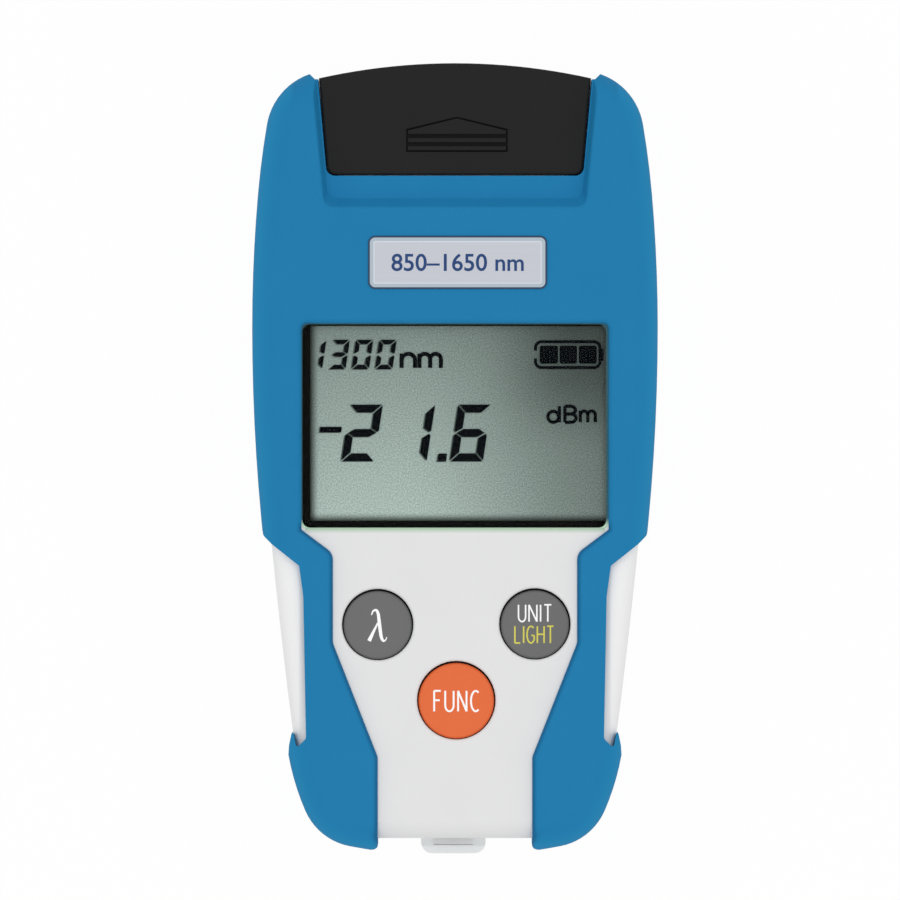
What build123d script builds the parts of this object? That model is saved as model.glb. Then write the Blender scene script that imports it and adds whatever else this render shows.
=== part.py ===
from build123d import *
import os

# Hand-held optical power meter, lying on its back.
# Millimetres. +Z comes out of the screen, +Y runs to the port end, z = 0 is the rear of the armour.
# The middle of the outline is the origin in X and Y.

os.makedirs("parts", exist_ok=True)

# Where the parts of the front lie along the length, as a chain that runs out from the display window
WINDOW_LOW_Y = -10.65
WINDOW_HIGH_Y = 20.6
BADGE_FIELD = 17.7
RECESS_LOW_Y = WINDOW_HIGH_Y + BADGE_FIELD
HORN_LENGTH = 20.4
TOP_Y = RECESS_LOW_Y + HORN_LENGTH
KEY_ROW_DROP = 14.75
KEY_ROW_Y = WINDOW_LOW_Y - KEY_ROW_DROP
LOW_KEY_DROP = 11.55
LOW_KEY_Y = KEY_ROW_Y - LOW_KEY_DROP
FOOT_FIELD = 23.05
FOOT_Y = LOW_KEY_Y - FOOT_FIELD
FAR = 80.0

# Armour over case
ARMOUR_FACE = 1.0
ARMOUR_SIDE = 1.2
ARMOUR_EDGE = 4.0
CASE_EDGE = 3.0
CASE_WALL = 2.0
PANEL_RIM = 0.9
RECESS_RIM = 0.5
CASE_FOOT_STEP = 0.75
CASE_FOOT_Y = FOOT_Y + CASE_FOOT_STEP
PARTING_Z = 13.0

# Gaps: one between pieces that slide on each other, one between pieces that are only dropped in
RUN_GAP = 0.3
SLIDE_GAP = 0.2
DROP_GAP = 0.1
BOLT_GAP = 0.2

# Levels from the rear: door, cells, bay wall and board, then the room up to the face
DOOR_THICK = 1.4
CELL_R = 5.25
CELL_DOOR_GAP = 0.35
CELL_TOP_GAP = 0.15
BAY_WALL = 1.2
BAY_BOARD_GAP = 0.6
BOARD_THICK = 1.6
FACE_ROOM = 6.2
CASE_REAR_Z = ARMOUR_FACE
INNER_REAR_Z = CASE_REAR_Z + CASE_WALL
DOOR_INNER_Z = CASE_REAR_Z + DOOR_THICK
CELL_Z = DOOR_INNER_Z + CELL_DOOR_GAP + CELL_R
BAY_TOP_Z = CELL_Z + CELL_R + CELL_TOP_GAP
BOARD_REAR_Z = BAY_TOP_Z + BAY_WALL + BAY_BOARD_GAP
BOARD_FRONT_Z = BOARD_REAR_Z + BOARD_THICK
INNER_FRONT_Z = BOARD_FRONT_Z + FACE_ROOM
CASE_FRONT_Z = INNER_FRONT_Z + CASE_WALL
DEPTH = CASE_FRONT_Z + ARMOUR_FACE

# Outline of the armour: arcs that run on from one another, from the widest point up and down
WIDEST = (31.0, 20.0)
ARC_ENDS_UP = [
    (30.1, TOP_Y - 18.2),
    (28.75, TOP_Y - 7.7),
    (27.2, TOP_Y - 3.8),
    (22.3, TOP_Y),
]
ARC_ENDS_DOWN = [
    (29.6, WINDOW_LOW_Y + 1.25),
    (25.75, FOOT_Y + 16.5),
    (22.9, FOOT_Y + 6.15),
    (19.3, FOOT_Y + 1.95),
    (16.1, FOOT_Y + 0.7),
]
FOOT_X = 12.0

# Display window in the case, and the black border round the glass
WINDOW_X = 23.45
WINDOW_CORNER = 0.85
WINDOW_THICK = 1.1
WINDOW_SINK = 0.3
WINDOW_REAR_Z = CASE_FRONT_Z - WINDOW_SINK - WINDOW_THICK
BORDER_LEFT = 1.25
BORDER_RIGHT = 0.25
BORDER_LOW = 1.0
BORDER_HIGH = 0.3
FRAME_FLANGE = 1.45
FRAME_COLLAR = 0.5
GLASS_THICK = 1.8
GLASS_SINK = 0.4
GLASS_FRONT_Z = WINDOW_REAR_Z - GLASS_SINK
GLASS_REAR_Z = GLASS_FRONT_Z - GLASS_THICK
CONNECTOR_DEPTH = 2.0
CONNECTOR_INSET = 4.0
BACKLIGHT_THICK = 2.8
BACKLIGHT_FOOT_R = 1.5
BACKLIGHT_FOOT_X = 18.0
BACKLIGHT_FOOT_YS = [WINDOW_LOW_Y + 5.65, WINDOW_HIGH_Y - 7.6]

# Key panel: points at the right of the white field below the window, each with its corner radius
PANEL_FOOT_X = 11.8
PANEL_FOOT_Y = FOOT_Y + 14.4
PANEL_FLARE = 0.6
PANEL_POINTS = [
    (WINDOW_X, WINDOW_HIGH_Y, WINDOW_CORNER),
    (WINDOW_X, WINDOW_LOW_Y - 0.25, 0),
    (18.65, WINDOW_LOW_Y - 3.85, 2.0),
    (18.65, WINDOW_LOW_Y - 17.55, 2.0),
    (PANEL_FOOT_X, PANEL_FOOT_Y, 2.0),
    (PANEL_FOOT_X, FOOT_Y + PANEL_FLARE, 0.6),
    (PANEL_FOOT_X + 2 * PANEL_FLARE, FOOT_Y - PANEL_FLARE, 0),
    (PANEL_FOOT_X, -FAR, 0),
]

# Grip window at the right, open to the side: points with their corner radii
GRIP_POINTS = [
    (FAR, WINDOW_LOW_Y + 1.45, 0),
    (29.7, WINDOW_LOW_Y + 1.05, 0),
    (29.3, WINDOW_LOW_Y - 1.15, 1.0),
    (28.0, WINDOW_LOW_Y - 2.45, 0),
    (23.8, WINDOW_LOW_Y - 5.75, 0.5),
    (23.15, WINDOW_LOW_Y - 10.5, 2.0),
    (22.75, FOOT_Y + 17.2, 0.8),
    (24.2, FOOT_Y + 15.7, 0.3),
    (24.8, FOOT_Y + 18.8, 0.2),
    (25.35, FOOT_Y + 16.2, 0),
    (25.5, FOOT_Y + 14.2, 0),
    (FAR, FOOT_Y + 13.6, 0),
]

# Rear of the armour: the field it leaves open round the battery door
REAR_FIELD_X = 19.3
REAR_FIELD_Y = 34.0
REAR_FIELD_CORNER = 3.0
SCREW_FIELD_GAP = 0.3

# Recess in the armour round the dust cover
RECESS_DEPTH = 1.8
RECESS_FLOOR_Z = DEPTH - RECESS_DEPTH
RECESS_RIM_LOW_X = 20.0
RECESS_RIM_TOP_X = 22.3
RECESS_TOP_Y = TOP_Y + 3.3
RECESS_SIDE_SLOPE = 0.73
RECESS_FOOT_SLOPE = 1.4
RECESS_CORNER = 1.5
RECESS_SHELF = 5.0
HORN_STEP_X = 21.4
HORN_STEP_Y = TOP_Y - 0.8
HORN_STEP_SLANT = 0.9

# Neck of the case inside the cover
COVER_LOW_Y = RECESS_LOW_Y + RECESS_SHELF
SHOULDER_WALL = 2.3
CAVITY_TOP_Y = COVER_LOW_Y - SHOULDER_WALL
NECK_LENGTH = 7.5
NECK_TOP_Y = CAVITY_TOP_Y + NECK_LENGTH
NECK_WALL = 2.0
NECK_EDGE = 1.5

# Optical port on the end of the neck, for a 2.5 mm ferrule
PORT_Z = PARTING_Z
FERRULE_BORE_R = 1.26
SLEEVE_R = 1.6
PORT_FLANGE_R = 7.4
PORT_FLANGE_THICK = 1.5
PORT_BARREL_R = 4.0
PORT_BARREL_INNER_R = 3.2
PORT_CORE_R = 2.4
PORT_BARREL_LENGTH = 8.7
PORT_BARREL_TOP_Y = NECK_TOP_Y + PORT_BARREL_LENGTH
PORT_GROOVE_DEPTH = 5.0
PORT_KEYWAY = 2.1
PORT_KEYWAY_REACH = 0.4
PORT_SPIGOT_R = 4.4
PORT_SCREW_OFFSET = 5.8
PORT_SCREW_R = 0.8
PORT_SCREW_HEAD_R = 1.3
PORT_SCREW_HEAD_THICK = 0.9
PORT_SCREW_LENGTH = 5.0
PORT_SCREW_SEAT_Y = NECK_TOP_Y + PORT_FLANGE_THICK
PORT_SCREW_TIP_Y = PORT_SCREW_SEAT_Y - PORT_SCREW_LENGTH
SLEEVE_SINK = 1.5
SLEEVE_LIP = 0.4
SLEEVE_LOW_Y = NECK_TOP_Y - SLEEVE_SINK
SLEEVE_HIGH_Y = PORT_BARREL_TOP_Y - SLEEVE_LIP
DETECTOR_R = 4.1
DETECTOR_RIM_R = 4.6
DETECTOR_LENGTH = 4.5
DETECTOR_RIM_THICK = 0.6
DETECTOR_LEAD_R = 0.25
DETECTOR_LEAD_OFFSET = 1.27
DETECTOR_LEAD_TAIL = 0.8
DETECTOR_BOARD_THICK = 1.2
DETECTOR_BOARD_X = 9.0
DETECTOR_BOARD_HALF_Z = 6.5
DETECTOR_FRONT_Y = NECK_TOP_Y - NECK_WALL
DETECTOR_REAR_Y = DETECTOR_FRONT_Y - DETECTOR_LENGTH

# Dust cover
COVER_LOW_X = 19.45
COVER_TOP_X = 21.0
COVER_ARCH = 2.3
COVER_PORT_GAP = 1.2
COVER_SHOULDER_Y = PORT_BARREL_TOP_Y + 0.85
COVER_TOP_Y = COVER_SHOULDER_Y + COVER_ARCH
COVER_PROUD = 0.1
COVER_FRONT_Z = RECESS_FLOOR_Z + COVER_PROUD
COVER_REAR_Z = 1.4
COVER_WALL = 1.5
COVER_LIP = 1.25
COVER_CORNER = 1.35
COVER_EDGE = 0.5
COVER_GAP = 0.15
NECK_X = COVER_LOW_X - COVER_LIP - RUN_GAP
NECK_FRONT_Z = COVER_FRONT_Z - COVER_WALL - RUN_GAP
NECK_REAR_Z = COVER_REAR_Z + COVER_WALL + RUN_GAP
MARK_X = 0.3
MARK_HALF = 7.5
MARK_RISE = 0.2
MARK_SINK = 0.7
MARK_GAP = 0.25
RIB_ROOT = 0.2
RIB_WIDTH = 0.6
RIB_PLACES = [COVER_LOW_Y + 4.05, COVER_LOW_Y + 5.3]
ARROW_LOW_Y = COVER_LOW_Y + 6.25
ARROW_SHOULDER_Y = ARROW_LOW_Y + 0.5
ARROW_TIP_Y = ARROW_LOW_Y + 2.35

# Circuit board and what is soldered to it
BOARD_X = 21.2
BOARD_LOW_Y = FOOT_Y + 13.8
BOARD_HIGH_Y = CAVITY_TOP_Y - DETECTOR_BOARD_THICK
BOARD_SCREW_TOP = (18.2, RECESS_LOW_Y - 7.3)
BOARD_SCREW_LOW = (19.3, FOOT_Y + 16.8)
BOARD_SCREW_R = 0.9
BOARD_HEAD_R = 1.8
BOARD_HEAD_THICK = 1.4
BOARD_BOSS_R = 2.4
BOARD_THREAD = 4.5
SCREW_TIP_GAP = 0.5
MAIN_CHIP_SIZE = 10.0
MAIN_CHIP_THICK = 1.2
MAIN_CHIP_Y = WINDOW_LOW_Y - 7.85
SMALL_PARTS_Y = RECESS_LOW_Y - 5.3
AMPLIFIER_SIZE = (5.0, 4.0, 1.5)
CRYSTAL_X = 9.0
CRYSTAL_SIZE = (10.0, 4.4)
CRYSTAL_CORNER = 2.1
CRYSTAL_THICK = 3.4

# Case screws, driven from the rear
CASE_SCREW_TOP = (24.2, RECESS_LOW_Y - 5.3)
CASE_SCREW_LOW = (20.0, FOOT_Y + 10.5)
CASE_SCREW_R = 1.1
CASE_HEAD_R = 1.95
CASE_HEAD_THICK = 1.4
CASE_HEAD_SINK = 1.0
CASE_HEAD_Z = CASE_REAR_Z + CASE_HEAD_SINK
CASE_BOSS_R = 2.9
CASE_THREAD = 5.5
SCREW_SLOT_HALF = 1.3
SCREW_SLOT_WIDE = 0.5
SCREW_SLOT_DEEP = 0.6

# Keys: centre as seen on the front and radius of the hole in the case
KEY_PLACES = {
    "wavelength_button": (-11.8, KEY_ROW_Y, 5.45),
    "unit_button": (12.2, KEY_ROW_Y + 0.1, 5.45),
    "function_button": (0.2, LOW_KEY_Y, 6.0),
}
KEY_TRAVEL = 0.6
KEY_SINK = 0.3
KEY_HOLE_RIM = 0.5
KEY_EDGE = 0.4
KEY_FLANGE = 0.8
KEY_FLANGE_GAP = 0.4
KEY_FLANGE_THICK = 0.8
SWITCH_SIZE = 6.0
SWITCH_THICK = 2.7
SWITCH_KEY_GAP = 0.2
PLUNGER_R = 1.7
PLUNGER_LENGTH = 2.0
KEY_FRONT_Z = CASE_FRONT_Z - KEY_SINK
KEY_REAR_Z = BOARD_FRONT_Z + SWITCH_THICK + KEY_TRAVEL + SWITCH_KEY_GAP
KEY_FLANGE_FRONT_Z = INNER_FRONT_Z - KEY_FLANGE_GAP
KEY_FLANGE_REAR_Z = KEY_FLANGE_FRONT_Z - KEY_FLANGE_THICK
PLUNGER_REAR_Z = KEY_REAR_Z - PLUNGER_LENGTH

# Badge plate on the front armour
BADGE_CENTRE = (0.4, WINDOW_HIGH_Y + 9.3)
BADGE_SIZE = (27.3, 8.1)
BADGE_CORNER = 1.07
BADGE_THICK = 0.65
BADGE_SINK = 0.5
BADGE_REAR_Z = DEPTH - BADGE_SINK

# Battery bay: three AAA cells side by side, between contacts at the foot and at the upper end
CELL_LENGTH = 44.5
CELL_NUB_R = 1.9
CELL_NUB_LENGTH = 0.8
CELL_EDGE = 0.4
CELL_SPACE = 0.1
CELL_PITCH = 2 * CELL_R + CELL_SPACE
CELL_COUNT = 3
CELL_PLACES = [-CELL_PITCH, 0.0, CELL_PITCH]
CONTACT_THICK = 0.5
CONTACT_WIDTH = 8.0
TAIL_HALF = 1.0
STRIP_THICK = 0.3
STRIP_LENGTH = 9.4
SPRING_ROOM = 5.1
SPRING_WIRE_R = 0.3
SPRING_COIL_R = 2.6
SPRING_TURNS = 3
BAY_END = 5.6
BAY_X = CELL_PITCH + CELL_R + CELL_SPACE / 2
BAY_LOW_Y = CASE_FOOT_Y + BAY_END
LOW_CONTACT_Y = BAY_LOW_Y + CONTACT_THICK
TOP_CONTACT_Y = LOW_CONTACT_Y + SPRING_ROOM + CELL_LENGTH
BAY_HIGH_Y = TOP_CONTACT_Y + CONTACT_THICK
STRIP_END_Y = BAY_LOW_Y + STRIP_LENGTH

# Battery door, which slides out past the foot end
DOOR_LAP = 0.7
DOOR_X = BAY_X + DOOR_LAP
DOOR_HIGH_Y = BAY_HIGH_Y + BAY_WALL
DOOR_SIDE_GAP = 0.15
TONGUE_REACH = 0.9
TONGUE_THICK = 0.6
TONGUE_Z = DOOR_INNER_Z - TONGUE_THICK
DOOR_RIB_COUNT = 5
DOOR_RIB_PITCH = 1.8
DOOR_RIB_X = 9.0
DOOR_RIB_WIDE = 0.8
DOOR_RIB_RISE = 0.5
DOOR_RIB_Y = DOOR_HIGH_Y - 10.4

# Lanyard eye at the foot
EYE_LOW_Y = CASE_FOOT_Y - 1.35
EYE_LEFT_X = -5.2
EYE_RIGHT_X = 4.7
EYE_CORNER = 1.75
EYE_THICK = 5.0
EYE_PARTING_GAP = 1.5
EYE_FRONT_Z = PARTING_Z - EYE_PARTING_GAP
EYE_REAR_Z = EYE_FRONT_Z - EYE_THICK
EYE_BAR = 1.3
EYE_SLOT_X = 3.0
EYE_SLOT_LOW_Y = EYE_LOW_Y + EYE_BAR
EYE_SCOOP_Y = CASE_FOOT_Y + 3.1
EYE_SCOOP_REAR_Z = EYE_REAR_Z - 2.0
EYE_BACKING_X = 6.0
EYE_BACKING_Y = CASE_FOOT_Y + 2.0


# Small tools for blocks, rods and plates

def block(low_x, high_x, low_y, high_y, low_z, high_z):
    """A box between two corners."""
    size = (high_x - low_x, high_y - low_y, high_z - low_z)
    middle = ((low_x + high_x) / 2, (low_y + high_y) / 2, (low_z + high_z) / 2)
    return Pos(*middle) * Box(*size)


def prism(face, low_z, high_z):
    """A plan drawn at z = 0, drawn out between two levels."""
    return extrude(Pos(0, 0, low_z) * face, high_z - low_z)


def post(x, y, radius, low_z, high_z):
    """A round post that stands along Z."""
    return Pos(x, y, (low_z + high_z) / 2) * Cylinder(radius, high_z - low_z)


def rod(x, z, radius, low_y, high_y):
    """A round rod that lies along Y."""
    place = Pos(x, (low_y + high_y) / 2, z) * Rot(90, 0, 0)
    return place * Cylinder(radius, high_y - low_y)


def four_places(top, low):
    """Two places and their mirror images."""
    places = []
    for x, y in (top, low):
        places.append((x, y))
        places.append((-x, y))
    return places


def group(solids):
    """Separate solids of one node."""
    return Compound(children=list(solids))


def plan(points):
    """A closed plan of points (x, y, corner radius), 0 for a sharp corner."""
    face = make_face(Polyline(*[(x, y) for x, y, radius in points], close=True))
    for x, y, radius in points:
        if radius > 0:
            corner = face.vertices().sort_by_distance(Vector(x, y, 0))[0]
            face = fillet(corner, radius)
    return face


# Outline, case and armour

def arc_chain(start, direction, ends):
    """Arcs that each leave in the direction the last one ended in."""
    arcs = []
    for end in ends:
        arc = TangentArc(start, end, tangent=direction)
        arcs.append(arc)
        start = arc @ 1
        direction = arc % 1
    return arcs


def body_outline(foot_y):
    """Plan of the armour: horns at the top, a waist, rounded lower corners."""
    up = arc_chain(WIDEST, (0, 1), ARC_ENDS_UP)
    down = arc_chain(WIDEST, (0, -1), ARC_ENDS_DOWN + [(FOOT_X, foot_y)])
    top = Line(up[-1] @ 1, (0, TOP_Y))
    foot = Line(down[-1] @ 1, (0, foot_y))
    half = up + down + [top, foot]
    return make_face(Curve() + half + [mirror(edge, Plane.YZ) for edge in half])


def rounded_slab(face, low_z, high_z, radius):
    """A slab whose front and rear edges are rounded alike."""
    slab = prism(face, low_z, high_z)
    levels = slab.edges().group_by(Axis.Z)
    return fillet(levels[0] + levels[-1], radius)


def armour_shape():
    return rounded_slab(body_outline(FOOT_Y), 0, DEPTH, ARMOUR_EDGE)


def case_shape():
    face = offset(body_outline(CASE_FOOT_Y), -ARMOUR_SIDE)
    return rounded_slab(face, CASE_REAR_Z, CASE_FRONT_Z, CASE_EDGE)


def cover_plan(grow, top_y):
    """Plan of the dust cover, wider towards the port end, with an arched top."""
    slope = (COVER_TOP_X - COVER_LOW_X) / (COVER_TOP_Y - COVER_LOW_Y)
    low_y = COVER_LOW_Y - grow
    low_x = COVER_LOW_X + grow - slope * grow
    shoulder_y = COVER_SHOULDER_Y + top_y - COVER_TOP_Y
    shoulder_x = COVER_LOW_X + grow + slope * (shoulder_y - COVER_LOW_Y)
    foot = Line((-low_x, low_y), (low_x, low_y))
    right = Line((low_x, low_y), (shoulder_x, shoulder_y))
    top = ThreePointArc((shoulder_x, shoulder_y), (0, top_y), (-shoulder_x, shoulder_y))
    left = Line((-shoulder_x, shoulder_y), (-low_x, low_y))
    face = make_face(Curve() + [foot, right, top, left])
    lower = face.vertices().group_by(Axis.Y)[0]
    return fillet(lower, COVER_CORNER)


def cover_space():
    """The space the cover slides in, open at the port end."""
    return prism(cover_plan(COVER_GAP, FAR), -1, DEPTH + 1)


def recess_plan(inset_x, inset_y):
    """Plan of the recess; the insets give the foot of its sloping walls."""
    low_y = RECESS_LOW_Y + inset_y
    slope = (RECESS_RIM_TOP_X - RECESS_RIM_LOW_X) / (RECESS_TOP_Y - RECESS_LOW_Y)
    low_x = RECESS_RIM_LOW_X - inset_x + slope * inset_y
    top_x = RECESS_RIM_TOP_X - inset_x
    return plan([
        (low_x, low_y, RECESS_CORNER),
        (top_x, RECESS_TOP_Y, 0),
        (-top_x, RECESS_TOP_Y, 0),
        (-low_x, low_y, RECESS_CORNER),
    ])


def recess_cut():
    """The recess: floor plan at the floor, rim plan at the front of the armour."""
    floor = Pos(0, 0, RECESS_FLOOR_Z) * recess_plan(RECESS_SIDE_SLOPE, RECESS_FOOT_SLOPE)
    rim = Pos(0, 0, DEPTH) * recess_plan(0, 0)
    walls = loft([floor, rim], ruled=True)
    return walls + prism(recess_plan(0, 0), DEPTH, DEPTH + 1)


def horn_step():
    """What goes between the horns: a low step beside the cover and the horns' inner tips."""
    high_x = HORN_STEP_X + HORN_STEP_SLANT
    high_y = HORN_STEP_Y + HORN_STEP_SLANT
    return prism(plan([
        (HORN_STEP_X, HORN_STEP_Y, 0),
        (high_x, high_y, 0),
        (-high_x, high_y, 0),
        (-HORN_STEP_X, HORN_STEP_Y, 0),
    ]), -1, DEPTH + 1)


def recess_bed():
    """What the case gives up so that the armour keeps its thickness under the recess."""
    half_x = RECESS_RIM_TOP_X + ARMOUR_SIDE
    low_y = RECESS_LOW_Y - ARMOUR_SIDE
    return block(-half_x, half_x, low_y, FAR, RECESS_FLOOR_Z - ARMOUR_FACE, DEPTH)


def face_opening():
    """Plan of the white field: the display window and the key panel below it."""
    left = [(-x, y, radius) for x, y, radius in reversed(PANEL_POINTS)]
    return plan(PANEL_POINTS + left)


def cut_windows(armour):
    window = prism(plan(GRIP_POINTS), -1, DEPTH + 1)
    return armour - window - mirror(window, Plane.YZ)


def round_rim(skin, opening, radius):
    """Rounds the front edges that lie on the border of an opening."""
    border = opening.face().outer_wire()
    rim = []
    for edge in skin.edges():
        middle = edge @ 0.5
        if abs(middle.Z - DEPTH) < 0.001:
            if border.distance_to(Vector(middle.X, middle.Y, 0)) < 0.01:
                rim.append(edge)
    return fillet(rim, radius)


def front_armour(armour, case):
    """Blue overmoulding of the front half."""
    front = armour & block(-FAR, FAR, -FAR, FAR, PARTING_Z, DEPTH + 1)
    skin = front - (case - recess_bed())
    skin = cut_windows(skin)
    skin = skin - prism(face_opening(), PARTING_Z - 1, DEPTH + 1)
    skin = round_rim(skin, face_opening(), PANEL_RIM)
    skin = skin - recess_cut() - cover_space()
    skin = round_rim(skin, recess_plan(0, 0), RECESS_RIM)
    return skin - horn_step() - badge_plate()


def rear_armour(armour, case):
    """Blue overmoulding of the rear half, open over the battery door."""
    rear = armour & block(-FAR, FAR, -FAR, FAR, -1, PARTING_Z)
    skin = cut_windows(rear - case)
    field = plan([
        (REAR_FIELD_X, -FAR, 0),
        (REAR_FIELD_X, REAR_FIELD_Y, REAR_FIELD_CORNER),
        (-REAR_FIELD_X, REAR_FIELD_Y, REAR_FIELD_CORNER),
        (-REAR_FIELD_X, -FAR, 0),
    ])
    skin = skin - prism(field, -1, INNER_REAR_Z)
    foot = prism(face_opening(), -1, PARTING_Z + 1)
    skin = skin - (foot & block(-FAR, FAR, -FAR, PANEL_FOOT_Y, -1, PARTING_Z + 1))
    skin = skin - cover_space() - horn_step()
    for x, y in four_places(CASE_SCREW_TOP, CASE_SCREW_LOW):
        skin = skin - post(x, y, CASE_HEAD_R + SCREW_FIELD_GAP, -1, CASE_REAR_Z + 1)
    return skin


# Case halves

def cavity():
    """The hollow of the case up to the shoulder of the neck."""
    face = offset(body_outline(CASE_FOOT_Y), -ARMOUR_SIDE - CASE_WALL)
    hollow = prism(face, INNER_REAR_Z, INNER_FRONT_Z)
    hollow = hollow - block(-FAR, FAR, CAVITY_TOP_Y, FAR, -1, DEPTH)
    bed_wall_y = RECESS_LOW_Y - ARMOUR_SIDE - CASE_WALL
    bed_wall_z = RECESS_FLOOR_Z - ARMOUR_FACE - CASE_WALL
    return hollow - block(-FAR, FAR, bed_wall_y, FAR, bed_wall_z, DEPTH)


def neck():
    """The squared tube that the dust cover slides over."""
    tube = block(-NECK_X, NECK_X, CAVITY_TOP_Y, NECK_TOP_Y, NECK_REAR_Z, NECK_FRONT_Z)
    return fillet(tube.edges().filter_by(Axis.Y), NECK_EDGE)


def neck_hollow():
    half_x = NECK_X - NECK_WALL
    low_z = NECK_REAR_Z + NECK_WALL
    high_z = NECK_FRONT_Z - NECK_WALL
    tube = block(-half_x, half_x, CAVITY_TOP_Y - 3, NECK_TOP_Y - NECK_WALL, low_z, high_z)
    spigot_hole = rod(0, PORT_Z, PORT_SPIGOT_R + DROP_GAP, NECK_TOP_Y - NECK_WALL - 1, NECK_TOP_Y + 1)
    return tube + spigot_hole + port_screw_cores()


def hollow_case(case):
    """Case with its hollow, neck and the space for the cover, before it is split."""
    shell = case - recess_bed() - cover_space()
    shell = shell + neck()
    return shell - cavity() - neck_hollow()


def key_hole(shell, place):
    """A round hole through the front wall, its front edge rounded."""
    x, y, hole_r = place
    shell = shell - post(x, y, hole_r, INNER_FRONT_Z - 1, CASE_FRONT_Z + 1)
    rim_point = Vector(x + hole_r, y, CASE_FRONT_Z)
    rim = shell.edges().sort_by_distance(rim_point)[0]
    return fillet(rim, KEY_HOLE_RIM)


def front_case(case):
    """White front half: window opening, key holes, bosses."""
    shell = hollow_case(case) & block(-FAR, FAR, -FAR, FAR, PARTING_Z, DEPTH + 1)
    for x, y in four_places(CASE_SCREW_TOP, CASE_SCREW_LOW):
        shell = shell + post(x, y, CASE_BOSS_R, PARTING_Z, INNER_FRONT_Z)
    for x, y in four_places(BOARD_SCREW_TOP, BOARD_SCREW_LOW):
        shell = shell + post(x, y, BOARD_BOSS_R, BOARD_FRONT_Z, INNER_FRONT_Z)
    shell = shell & case
    for x, y in four_places(CASE_SCREW_TOP, CASE_SCREW_LOW):
        shell = shell - post(x, y, CASE_SCREW_R, PARTING_Z - 1, PARTING_Z + CASE_THREAD)
    for x, y in four_places(BOARD_SCREW_TOP, BOARD_SCREW_LOW):
        shell = shell - post(x, y, BOARD_SCREW_R, BOARD_FRONT_Z - 1, BOARD_FRONT_Z + BOARD_THREAD)
    for place in KEY_PLACES.values():
        shell = key_hole(shell, place)
    return shell - window_plate(DROP_GAP, INNER_FRONT_Z - 1, CASE_FRONT_Z + 1)


def door_space():
    """Room for the door and for the tongues along its sides."""
    half_x = DOOR_X + DOOR_SIDE_GAP
    high_y = DOOR_HIGH_Y + SLIDE_GAP
    high_z = DOOR_INNER_Z + SLIDE_GAP
    slot_x = half_x + TONGUE_REACH
    room = block(-half_x, half_x, -FAR, high_y, -1, high_z)
    return room + block(-slot_x, slot_x, -FAR, high_y, TONGUE_Z - SLIDE_GAP, high_z)


def bay_box():
    """Outer walls of the battery bay."""
    half_x = BAY_X + BAY_WALL
    low_z = DOOR_INNER_Z + SLIDE_GAP
    return block(-half_x, half_x, BAY_LOW_Y - BAY_WALL, BAY_HIGH_Y + BAY_WALL, low_z, BAY_TOP_Z + BAY_WALL)


def bay_hollow():
    return block(-BAY_X, BAY_X, BAY_LOW_Y, BAY_HIGH_Y, 0, BAY_TOP_Z)


def eye_tab():
    """The lanyard eye: a tab with rounded lower corners."""
    face = plan([
        (EYE_LEFT_X, EYE_LOW_Y, EYE_CORNER),
        (EYE_RIGHT_X, EYE_LOW_Y, EYE_CORNER),
        (EYE_RIGHT_X, BAY_LOW_Y - BAY_WALL, 0),
        (EYE_LEFT_X, BAY_LOW_Y - BAY_WALL, 0),
    ])
    return prism(face, EYE_REAR_Z, EYE_FRONT_Z)


def eye_slot():
    """The slot of the eye and the scoop behind it in the end wall."""
    middle = (EYE_LEFT_X + EYE_RIGHT_X) / 2
    low_x = middle - EYE_SLOT_X
    high_x = middle + EYE_SLOT_X
    return block(low_x, high_x, EYE_SLOT_LOW_Y, EYE_SCOOP_Y, EYE_SCOOP_REAR_Z, PARTING_Z + 1)


def rear_case(case):
    """White rear half: battery bay, bosses, lanyard eye."""
    below = block(-FAR, FAR, -FAR, FAR, -1, PARTING_Z)
    shell = hollow_case(case) & below
    for x, y in four_places(CASE_SCREW_TOP, CASE_SCREW_LOW):
        shell = shell + (post(x, y, CASE_BOSS_R, INNER_REAR_Z - 1, PARTING_Z) & case)
    backing = block(-EYE_BACKING_X, EYE_BACKING_X, EYE_BACKING_Y, BAY_LOW_Y, INNER_REAR_Z, PARTING_Z)
    shell = shell + bay_box() + backing + eye_tab()
    shell = shell - bay_hollow() - door_space() - eye_slot() - contact_slots()
    for x, y in four_places(CASE_SCREW_TOP, CASE_SCREW_LOW):
        shell = shell - post(x, y, CASE_HEAD_R + BOLT_GAP, -1, CASE_HEAD_Z + CASE_HEAD_THICK)
        shell = shell - post(x, y, CASE_SCREW_R + BOLT_GAP, 0, PARTING_Z + 1)
    return shell


def case_screws():
    """Four screws that hold the halves together."""
    screws = []
    head_top = CASE_HEAD_Z + CASE_HEAD_THICK
    tip_z = PARTING_Z + CASE_THREAD - SCREW_TIP_GAP
    half = SCREW_SLOT_WIDE / 2
    slot_z = CASE_HEAD_Z + SCREW_SLOT_DEEP
    for x, y in four_places(CASE_SCREW_TOP, CASE_SCREW_LOW):
        screw = post(x, y, CASE_HEAD_R, CASE_HEAD_Z, head_top)
        screw = screw + post(x, y, CASE_SCREW_R, head_top, tip_z)
        for reach_x, reach_y in ((SCREW_SLOT_HALF, half), (half, SCREW_SLOT_HALF)):
            screw = screw - block(x - reach_x, x + reach_x, y - reach_y, y + reach_y, -1, slot_z)
        screws.append(screw)
    return group(screws)


# Badge and display

def badge_plate():
    face = Pos(*BADGE_CENTRE) * RectangleRounded(*BADGE_SIZE, BADGE_CORNER)
    return prism(face, BADGE_REAR_Z, BADGE_REAR_Z + BADGE_THICK)


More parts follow.
